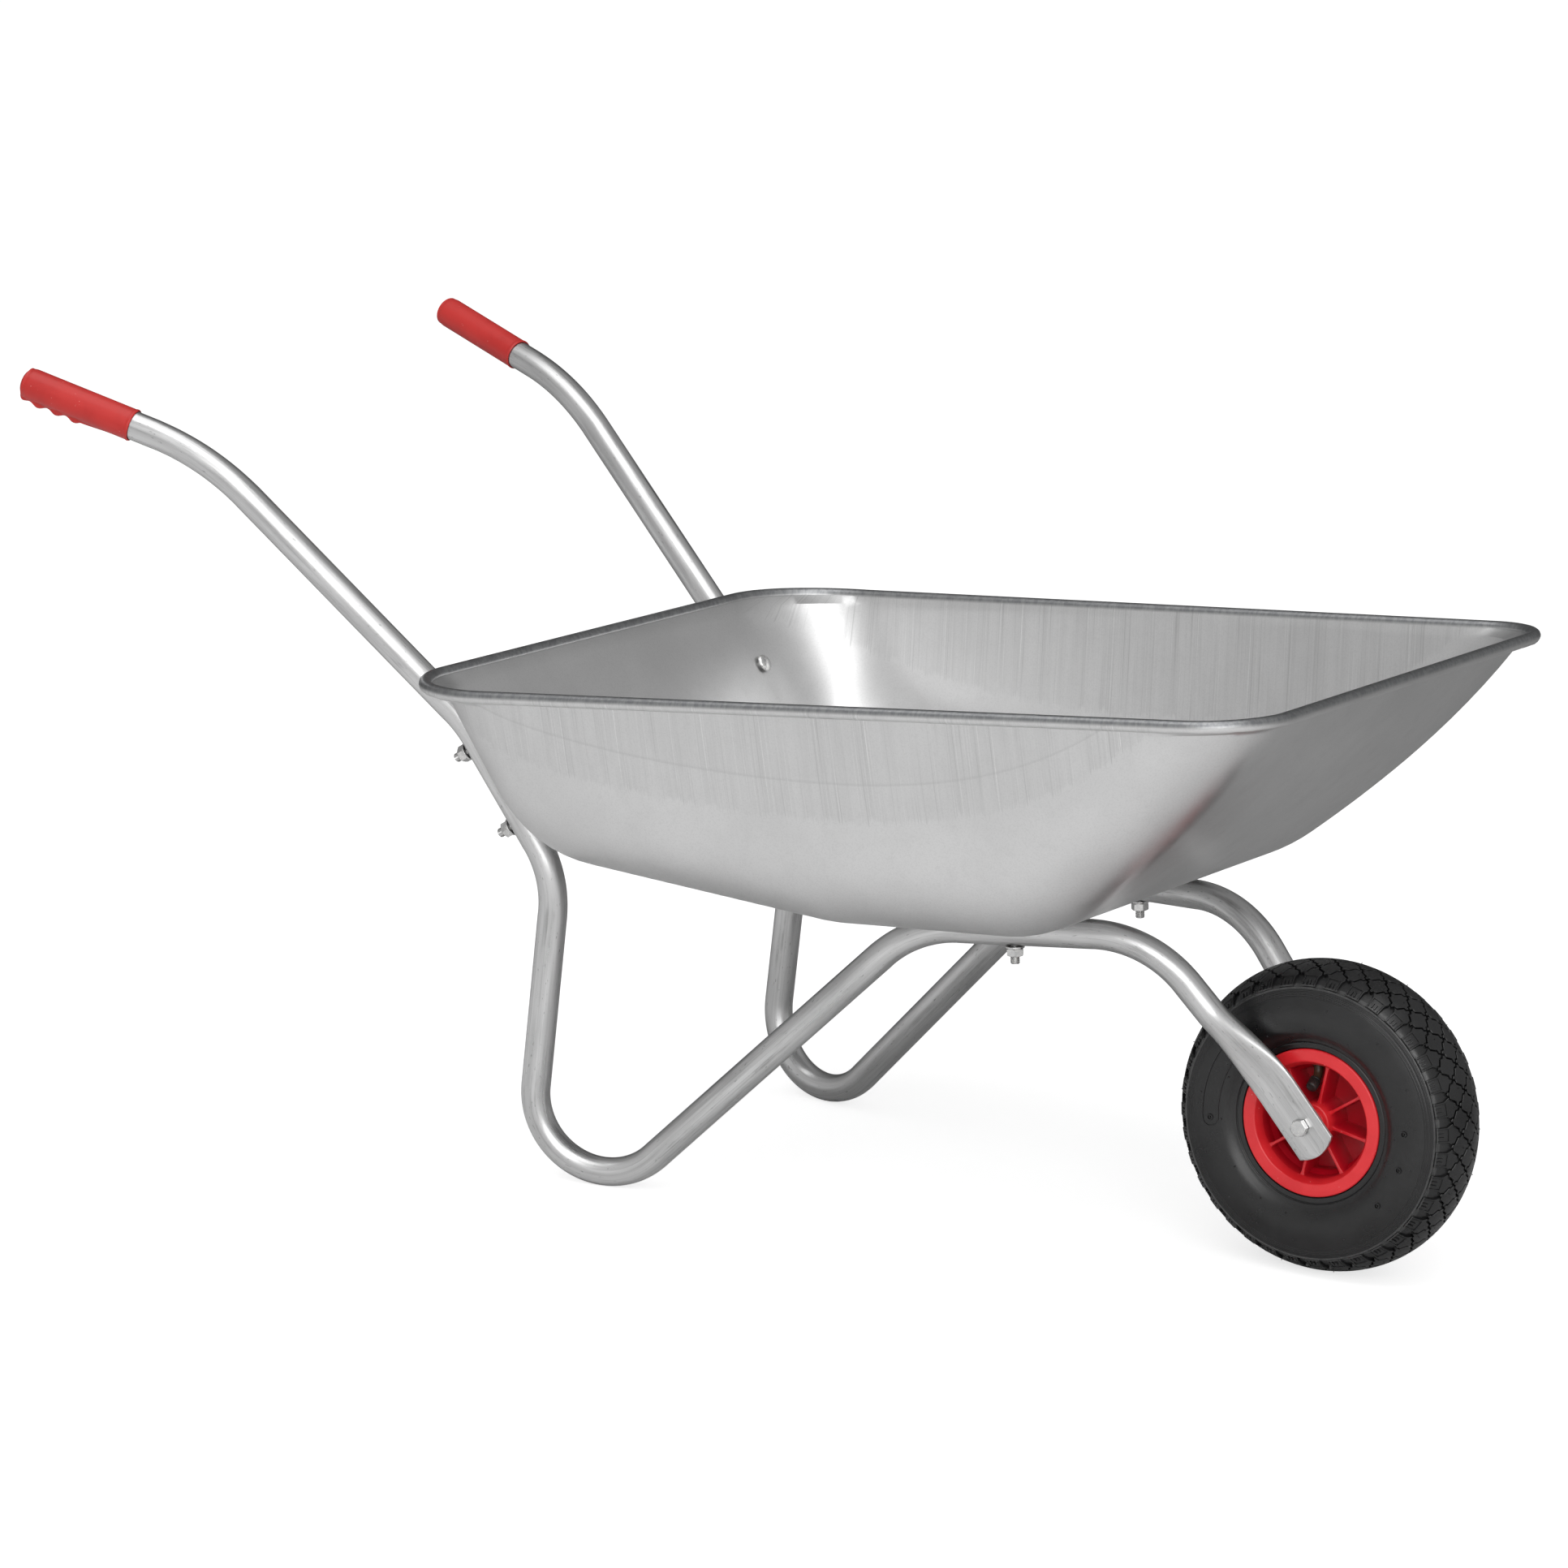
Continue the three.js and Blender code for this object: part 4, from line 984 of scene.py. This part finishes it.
def joined(solids):
    """One list of points and faces from several solids, each facing outwards."""
    points, faces = [], []
    count = 0
    for some_points, some_faces in solids:
        some_points = np.asarray(some_points, float)
        inside_out = volume(some_points - some_points.mean(0), some_faces) < 0
        for face in some_faces:
            face = tuple(v + count for v in face)
            faces.append(face[::-1] if inside_out else face)
        points.append(some_points)
        count += len(some_points)
    return np.concatenate(points), faces


def spline(corners, steps):
    """A smooth line through points; the first point is where it crosses its own mirror image."""
    p = np.array(corners, float)
    p = np.concatenate([[p[1] * (1, -1)], p, [2 * p[-1] - p[-2]]])
    out = []
    for k in range(1, len(p) - 2):
        f = np.linspace(0, 1, steps, endpoint=False)[:, None]
        a, b = (p[k + 1] - p[k - 1]) / 2, (p[k + 2] - p[k]) / 2
        out.append((2 * f ** 3 - 3 * f ** 2 + 1) * p[k] + (f ** 3 - 2 * f ** 2 + f) * a
                   + (3 * f ** 2 - 2 * f ** 3) * p[k + 1] + (f ** 3 - f ** 2) * b)
    out.append(p[-2:-1])
    return np.concatenate(out)


tyre_line = spline(TYRE_PROFILE, 24)
tyre_steps = np.concatenate([[0], np.cumsum(np.linalg.norm(np.diff(tyre_line, axis=0), axis=1))])
tyre_slope = np.gradient(tyre_line, tyre_steps, axis=0)


def tyre_radius(s):
    return np.interp(np.abs(s), tyre_steps, tyre_line[:, 0])


def on_tyre(u, s, h):
    """A point of the tyre: u round the crown, s sideways over the surface, h above it."""
    u, s, h = np.broadcast_arrays(np.asarray(u, float), np.asarray(s, float), np.asarray(h, float))
    over = np.abs(s)
    radius = tyre_radius(s)
    width = np.interp(over, tyre_steps, tyre_line[:, 1])
    slope_r = np.interp(over, tyre_steps, tyre_slope[:, 0])
    slope_w = np.interp(over, tyre_steps, tyre_slope[:, 1])
    size = np.hypot(slope_r, slope_w)
    radius = radius + h * slope_w / size
    width = width - h * slope_r / size
    angle = u / TYRE_R
    return np.stack([radius * np.cos(angle), np.sign(s) * width, AXLE_Z + radius * np.sin(angle)], -1)


def across_at(radius):
    """How far over the surface the sidewall reaches this radius."""
    return float(np.interp(-radius, -tyre_line[:, 0], tyre_steps))


def base_height(s):
    """The tyre's smooth surface under its blocks: groove floor, panel floor, ring, fine ribs, sidewall."""
    s = abs(s)
    ring_from = across_at(114.9)
    radius = float(tyre_radius(s))
    height = -GROOVE_DEPTH + (GROOVE_DEPTH - PANEL_DEPTH) * float(smoothstep((s - 24.5) / 5))
    height += (PANEL_DEPTH - 0.15) * float(smoothstep((s - PANEL_TO) / 1.1))
    if s > ring_from:
        height += 0.7 * float(smoothstep((radius - 112.0) / 0.8))
    if RIBS_FROM < radius < RIBS_TO:
        height += 0.28 * (0.5 - 0.5 * math.cos(TAU * (radius - RIBS_FROM) / RIB_PITCH)) - 0.25
    if radius < 74:
        height -= 0.5 * float(smoothstep((74 - radius) / 3))
    if radius < 68:
        height -= 0.9 * math.exp(-((radius - 67.0) / 0.5) ** 2)
    return height


def carcass():
    ends = tyre_steps[-1]
    fine = np.arange(across_at(116.2), across_at(104.6), 0.3)
    rim_side = np.arange(across_at(69.0), ends, 0.45)
    rows = np.concatenate([np.linspace(0, 25, 9), np.linspace(26, 39, 12), fine,
                           np.linspace(fine[-1] + 0.8, rim_side[0] - 0.5, 18), rim_side, [ends]])
    half = [on_tyre(0, s, base_height(s)) for s in rows[1:]]
    outside = [(p[0], p[1]) for p in half]
    seat = SEAT_R + GAP
    flange_inner = FLANGE_Y - FLANGE_THICK - GAP
    inside = rounded([(FLANGE_R + 0.3, flange_inner + 1.6), (FLANGE_R + 0.3, flange_inner),
                      (seat, flange_inner), (seat, 19), (62, 23), (80, 34.5),
                      (102, 32.5), (116, 19), (121, 0)], 1.2, 3)[:-3]
    side = outside + [tuple(p) for p in inside] + [(121, 0)]
    other = [(r, -w) for r, w in reversed(side[:-1])]
    crown = on_tyre(0, 1e-6, base_height(0))
    profile = np.array([(crown[0], 0)] + side + other)
    points, faces = lathe(profile, 240)
    return along_axle(points), faces


def groove_line(node, lean, ts):
    """The zigzag middle of the groove that leaves a tread node upwards, leaning to one side."""
    way = np.array([lean * HALF_PITCH, TREAD_ROW])
    across = np.array([1, -lean]) / math.sqrt(2)
    wave = np.interp((2 * ts) % 1, [0, 0.38, 0.62, 1], [0, 1, -1, 0])
    return node + np.outer(ts, way) + np.outer(ZIGZAG * wave, across)


def block_outline(centre, outer=0):
    """A tread block's outline between four zigzag grooves; on outer rows one half is the shoulder lug."""
    trim = GROOVE_HALF / math.hypot(HALF_PITCH, TREAD_ROW)
    ts = np.array([trim, 0.19, 0.31, 0.5, 0.69, 0.81, 1 - trim])
    low, high = centre - (0, TREAD_ROW), centre
    left, right = centre - (HALF_PITCH, 0), centre + (HALF_PITCH, 0)
    inset = GROOVE_HALF / math.sqrt(2)
    low_right = groove_line(low, 1, ts) + inset * np.array([-1, 1])
    high_right = groove_line(right, -1, ts) + inset * np.array([-1, -1])
    high_left = groove_line(left, 1, ts)[::-1] + inset * np.array([1, -1])
    low_left = groove_line(low, -1, ts)[::-1] + inset * np.array([1, 1])
    if outer == 0:
        return np.concatenate([low_right, high_right, high_left, low_left])
    lug = np.array([(LUG_HALF + 1.6, -0.4), (LUG_HALF + 0.4, 1.4), (LUG_HALF, 3.4), (LUG_HALF + 0.2, 12.6)])
    lug = np.concatenate([lug, lug[::-1] * (-1, 1)]) * (1, outer) + high
    if outer > 0:
        return np.concatenate([low_right[:-1], lug, low_left[1:]])
    return np.concatenate([high_right[1:], high_left[:-1], lug[::-1]])


def tread_block(centre, outer=0):
    outline = block_outline(centre, outer)
    middle = np.array([centre[0], outline[:, 1].mean()])
    rings = []
    for size, h in ((1.05, -GROOVE_DEPTH - 0.3), (1.0, -0.35), (0.955, 0), (0.7, 0), (0.35, 0)):
        ring_ = middle + (outline - middle) * size
        rings.append(on_tyre(ring_[:, 0], ring_[:, 1], h))
    return tube_solid(rings)


def ridge(path, width, height, closed=False):
    """A raised line over the tyre's surface: a low trapezoid swept along (u, s), in true widths."""
    sunk = 0.4
    path = np.array(path, float)
    stretch = np.stack([TYRE_R / tyre_radius(path[:, 1]), np.ones(len(path))], -1)
    along = (np.roll(path, -1, 0) - np.roll(path, 1, 0)) / stretch
    if not closed:
        along[0], along[-1] = (path[1] - path[0]) / stretch[0], (path[-1] - path[-2]) / stretch[-1]
    across = np.stack([-along[:, 1], along[:, 0]], -1) / np.linalg.norm(along, axis=1)[:, None] * stretch
    half = [(0.5, -sunk), (0.5, 0.4 * height), (0.3, height)]
    outline = half + [(-side, h) for side, h in half[::-1]]
    rings = []
    for k in range(len(path)):
        rings.append([on_tyre(*(path[k] + across[k] * side * width), h) for side, h in outline])
    if not closed:
        return tube_solid(rings)
    rings = np.array(rings)
    return rings.reshape(-1, 3), grid_faces(len(rings), rings.shape[1], wrap_rows=True)


def stud(u, s, radius, height, sides=10):
    """A small round bump or pin on the tyre's surface."""
    angles = bearings(sides)
    stretch = TYRE_R / float(tyre_radius(s))
    rings = []
    for size, h in ((1.0, -0.5), (1.0, 0.15 * height), (0.8, 0.65 * height), (0.4, height)):
        reach = radius * size ** 1.6
        rings.append(on_tyre(u + reach * stretch * np.cos(angles), s + reach * np.sin(angles), h))
    return tube_solid(rings)


def tread():
    solids = []
    for pitch in range(TREAD_PITCHES):
        for row in range(-3, 3):
            outer = {-3: -1, 2: 1}.get(row, 0)
            u = HALF_PITCH * (2 * pitch + row % 2)
            s = TREAD_ROW * (row + 0.5)
            solids.append(tread_block(np.array([u, s]), outer))
            if abs(row + 0.5) == 1.5 and pitch % 2 == 0:
                spot = rng.uniform(-4, 4, 2)
                solids.append(stud(u + spot[0], s + spot[1], 0.35, 1.4, 6))
            if outer == 0:
                continue
            for offset in (-1.7, 1.7):
                bar = [(u + offset, s + outer * reach) for reach in (7.0, 11.2)]
                solids.append(ridge(bar, 1.3, 1.0))
            frame_line = [(-5.2, 12.0), (-5.3, 2.4), (5.3, 2.4), (5.2, 12.0)]
            solids.append(ridge([(u + a, s + outer * b) for a, b in frame_line], 1.0, 0.7))
    return solids


def sidewall_marks(side):
    """Vent pins, small dots and the outline of a blank moulded panel on one side of the tyre."""
    solids = []
    pit_s = side * across_at(PIN_R)
    for degrees in (124.7, 5.2, -14.9, -39.0, -174.1):
        u = TYRE_R * math.radians(degrees)
        circle = bearings(20)
        path = np.stack([u + 2.2 * TYRE_R / PIN_R * np.cos(circle), pit_s + 2.2 * np.sin(circle)], -1)
        solids.append(ridge(path, 1.2, 0.9, closed=True))
        solids.append(stud(u, pit_s, 0.9, 1.3))
    for k, degrees in enumerate(range(8, 368, 24)):
        for radius, shift in ((98.0, 0), (78.5, 13)):
            u = TYRE_R * math.radians(degrees + shift + 5 * math.sin(5 * k))
            solids.append(stud(u, side * across_at(radius), 0.8, 0.7, 8))
    start, end, reach = math.radians(124.7), math.radians(185.9), 7.0
    path = []
    for angle, way in ((end, 1), (start, -1)):
        for turn in np.linspace(-math.pi / 2, math.pi / 2, 14):
            s = across_at(PIN_R) + way * reach * math.sin(turn)
            path.append((TYRE_R * (angle + way * reach * math.cos(turn) / PIN_R), side * s))
    dense = []
    for k, point in enumerate(path):
        after = path[(k + 1) % len(path)]
        steps = max(1, int(abs(after[0] - point[0]) / 5))
        dense += [tuple(a + (b - a) * f / steps for a, b in zip(point, after)) for f in range(steps)]
    solids.append(ridge(dense, 0.9, 0.5, closed=True))
    return solids


def tyre():
    solids = [carcass(), *tread(), *sidewall_marks(1), *sidewall_marks(-1)]
    points, faces = joined(solids)
    piece("tyre", "wheel", "tyre_rubber", points, faces, ["tyre"], sharp=math.radians(30))


def rib(angle):
    """One radial rib between the boss and the barrel, thicker where it meets them."""
    rings = []
    for radius, extra in ((14.5, 3.2), (16.6, 1.5), (18.2, 0.5), (20.5, 0),
                          (43.0, 0), (45.6, 0.5), (47.2, 1.5), (49.0, 3.2)):
        half = (RIB_THICK - 0.5 + extra) / 2
        section = rounded([(-half, -RIB_Y), (half, -RIB_Y), (half + 0.35, 0), (half, RIB_Y), (-half, RIB_Y),
                           (-half - 0.35, 0)], [0.7, 0.7, 0, 0.7, 0.7, 0], 4)
        rings.append([(radius, y, AXLE_Z + across) for across, y in section])
    points, faces = tube_solid(rings)
    return spun(points, angle), faces


def wheel_hub():
    inner = SEAT_R - BARREL_WALL
    flange_in = FLANGE_Y - FLANGE_THICK
    half = [(WELL_R, 12), (SEAT_R, 16), (SEAT_R, flange_in), (FLANGE_R, flange_in), (FLANGE_R, FLANGE_Y),
            (51.2, FLANGE_Y), (inner - 0.4, RIB_Y), (inner - 1.4, 17), (WELL_R - BARREL_WALL, 12.6)]
    radii = [1, 1.5, 1, 0.8, 1.6, 1.8, 2.0, 1.6, 1.4]
    barrel = rounded(half + [(r, -y) for r, y in reversed(half)], radii + radii[::-1], 5)
    web = rounded([(BUSH_R + 1, -WEB_HALF), (WELL_R - 1, -WEB_HALF), (WELL_R - 1, WEB_HALF),
                   (BUSH_R + 1, WEB_HALF)], 0)
    bore = BUSH_R + GAP
    boss = rounded([(bore, BOSS_Y), (BOSS_R, BOSS_Y), (BOSS_R + 2, 2.5), (BOSS_R + 2, -2.5),
                    (BOSS_R, -BOSS_Y), (bore, -BOSS_Y)], [0.5, 1.6, 0.4, 0.4, 1.6, 0.5], 5)
    solids = [lathe(p, 144) for p in (barrel, web, boss)]
    solids = [(along_axle(points), faces) for points, faces in solids]
    solids += [rib(RIB_PHASE + TAU * k / RIB_COUNT) for k in range(RIB_COUNT)]
    points, faces = joined(solids)
    piece("wheel_hub", "wheel", "hub_plastic", points, faces, ["wheel_hub"], sharp=math.radians(32))


def swept(path, radii):
    """A round bar along a line in space, with a radius at each point of it."""
    path = [Vector(p) for p in path]
    side = Vector((0, 0, 1)).cross(path[1] - path[0])
    side = (side if side.length > 1e-6 else Vector((1, 0, 0))).normalized()
    rings = []
    for k, point in enumerate(path):
        ahead = (path[min(k + 1, len(path) - 1)] - path[max(k - 1, 0)]).normalized()
        side = (side - ahead * side.dot(ahead)).normalized()
        other = ahead.cross(side)
        rings.append([point + (side * math.cos(a) + other * math.sin(a)) * radii[k]
                      for a in bearings(32)])
    return tube_solid(np.array(rings))


def valve():
    out = Vector((math.cos(VALVE_ANGLE), 0, math.sin(VALVE_ANGLE)))
    centre = Vector((0, 0, AXLE_Z))
    base = centre + out * (SEAT_R + 1) + Vector((0, -VALVE_Y, 0))
    elbow = centre + out * 37 + Vector((0, -VALVE_Y - 1, 0))
    tip = centre + out * 29 + Vector((0, -VALVE_Y - 15, 0))
    arrive, leave = (elbow - base).normalized(), (tip - elbow).normalized()
    path = [base, base + arrive * 4, base + arrive * 4.6, base + arrive * 7.2, base + arrive * 7.8]
    radii = [4.2, 4.2, 5.6, 5.6, 3.9]
    corner = [elbow - arrive * 5, elbow, elbow + leave * 5]
    for f in np.linspace(0, 1, 12):
        path.append(corner[0] * (1 - f) ** 2 + corner[1] * 2 * f * (1 - f) + corner[2] * f * f)
        radii.append(3.9 - 0.3 * f)
    reach = (tip - elbow).length
    path += [elbow + leave * (reach - 9), elbow + leave * (reach - 8.9)]
    radii += [3.6, 3.2]
    points, faces = swept(path, radii)
    piece("valve_stem", "wheel", "rubber", points, faces, ["valve_stem"], finish="valve_rubber")
    length = 11 - GAP
    rings = []
    columns = 96
    shape = [(4.4, 0), (4.75, 0.4), (4.75, 1.6), (4.45, 1.9), (4.7, 2.2), (4.65, length - 1.6),
             (4.3, length - 0.7), (3.6, length - 0.2), (2.2, length), (0.8, length)]
    for radius, z in shape:
        knurl = 0.16 * np.cos(24 * bearings(columns)) if 2 < z < length - 1 else 0
        rings.append(ring_of(radius + knurl, z, columns))
    points, faces = tube_solid(rings)
    placed = aim(points, leave, elbow + leave * (reach - 9 + GAP))
    piece("valve_cap", "wheel", "rubber", placed, faces, ["valve_cap"])


tray()
frame_tubes()
grips()
tray_fasteners()
axle_pieces()
tyre()
wheel_hub()
valve()

for node_name, node in frame["nodes"].items():
    if not node.hide_render:
        slot_name = next(s["material_slot"] for s in frame["record"]["subparts"] if s["node"] == node_name)
        node.data.materials.clear()
        node.data.materials.append(MATERIALS[slot_name])


# ---- floor, light and camera ---------------------------------------------------------------------

def floor(name, height, paint, seen, mirrored_):
    """A floor plane that either the camera sees, or the object's reflections and shading do."""
    mesh = bpy.data.meshes.new(name)
    reach = 60.0
    mesh.from_pydata([(-reach, -reach, height), (reach, -reach, height), (reach, reach, height),
                      (-reach, reach, height)], [], [(0, 1, 2, 3)])
    mesh.materials.append(paint)
    made = bpy.data.objects.new(name, mesh)
    made.visible_camera = seen
    for ray in ("diffuse", "glossy", "transmission", "shadow"):
        setattr(made, "visible_" + ray, mirrored_)
    bpy.context.scene.collection.objects.link(made)


def pale_floor():
    """What the camera sees: a pale floor that is bright enough to be nearly white."""
    paint = Paint("floor_paint", Emission_Color=(1, 1, 1, 1), Emission_Strength=0.7, Roughness=0.6)
    cloud = paint.noise(paint.coordinates(), 3.0, 4.0)
    return paint.wire(Base_Color=paint.mix(cloud, grey(0.78), grey(0.8)))


def studio_floor():
    """What the steel mirrors: bright on the camera's side, and darker behind the barrow as painted shade."""
    paint = Paint("studio_floor_paint", Roughness=0.7)
    behind = paint.band(paint.axis(paint.coordinates(), "Y"), -0.6, 0.9)
    return paint.wire(Base_Color=paint.mix(behind, grey(0.88), grey(0.32)))


LIT_POINT = Vector((0, 0, 0.32))


def softbox(name, azimuth, elevation, distance, width, height, radiance):
    """An area light at a bearing (0 is in front of the side that faces -Y, 90 towards +X)."""
    a, e = math.radians(azimuth), math.radians(elevation)
    back = Vector((math.sin(a) * math.cos(e), -math.cos(a) * math.cos(e), math.sin(e)))
    data = bpy.data.lights.new(name, "AREA")
    data.shape = "RECTANGLE"
    data.size, data.size_y = width, height
    data.energy = radiance * math.pi * width * height
    made = bpy.data.objects.new(name, data)
    made.visible_camera = False
    made.location = LIT_POINT + back * distance
    made.rotation_mode = "QUATERNION"
    made.rotation_quaternion = (-back).to_track_quat("-Z", "Y")
    bpy.context.scene.collection.objects.link(made)


def world():
    """A grey studio, pale on the camera's side and dark opposite it; the camera itself sees it white."""
    made = bpy.data.worlds.new("studio")
    bpy.context.scene.world = made
    made.use_nodes = True
    tree = made.node_tree
    source = add_node(tree, "TexCoord").outputs["Generated"]
    along = add_node(tree, "VectorMath", {0: source, 1: (-0.51, 0.86, 0)}, operation="DOT_PRODUCT")
    half = add_node(tree, "Math", {0: along.outputs["Value"], 1: 0.5, 2: 0.5}, operation="MULTIPLY_ADD")
    ramp = add_node(tree, "ValToRGB", {0: half.outputs[0]})
    stops = ramp.color_ramp.elements
    stops[0].position, stops[0].color = 0.0, grey(0.8)
    stops[1].position, stops[1].color = 1.0, grey(0.06)
    for position, level in ((0.3, 0.52), (0.76, 0.34), (0.93, 0.1)):
        stops.new(position).color = grey(level)
    seen = add_node(tree, "LightPath").outputs["Is Camera Ray"]
    mix = add_node(tree, "Mix", {"Factor": seen, 6: ramp.outputs[0], 7: grey(1.0)}, data_type="RGBA")
    tree.links.new(mix.outputs[2], tree.nodes["Background"].inputs["Color"])


def camera():
    azimuth, elevation, roll = math.radians(30.82), math.radians(12.26), math.radians(2.77)
    focal_px, frame_px, sensor = 7981.9, 1932.0, 36.0
    data = bpy.data.cameras.new("camera")
    data.sensor_width = sensor
    data.lens = focal_px / frame_px * sensor
    data.clip_start, data.clip_end = 0.1, 60.0
    made = bpy.data.objects.new("camera", data)
    back = Vector((math.sin(azimuth) * math.cos(elevation), -math.cos(azimuth) * math.cos(elevation),
                   math.sin(elevation)))
    level = Vector((math.cos(azimuth), math.sin(azimuth), 0))
    rise = back.cross(level)
    right = level * math.cos(roll) + rise * math.sin(roll)
    up = rise * math.cos(roll) - level * math.sin(roll)
    turned = Matrix((right, up, back)).transposed().to_4x4()
    made.matrix_world = Matrix.Translation(Vector((AXLE.x + 2.23317, -4.63892, 1.49894))) @ turned
    bpy.context.scene.collection.objects.link(made)
    bpy.context.scene.camera = made


floor("floor", 0.0, pale_floor(), True, False)
floor("studio_floor", -0.0005, studio_floor(), False, True)
world()
softbox("key", azimuth=32, elevation=22, distance=6.0, width=4.6, height=3.6, radiance=1.9)
softbox("top", azimuth=-20, elevation=76, distance=3.6, width=3.6, height=3.0, radiance=1.3)
softbox("strip", azimuth=35, elevation=54, distance=6.0, width=1.8, height=1.2, radiance=2.8)
camera()
bpy.context.scene.view_settings.view_transform = "Standard"
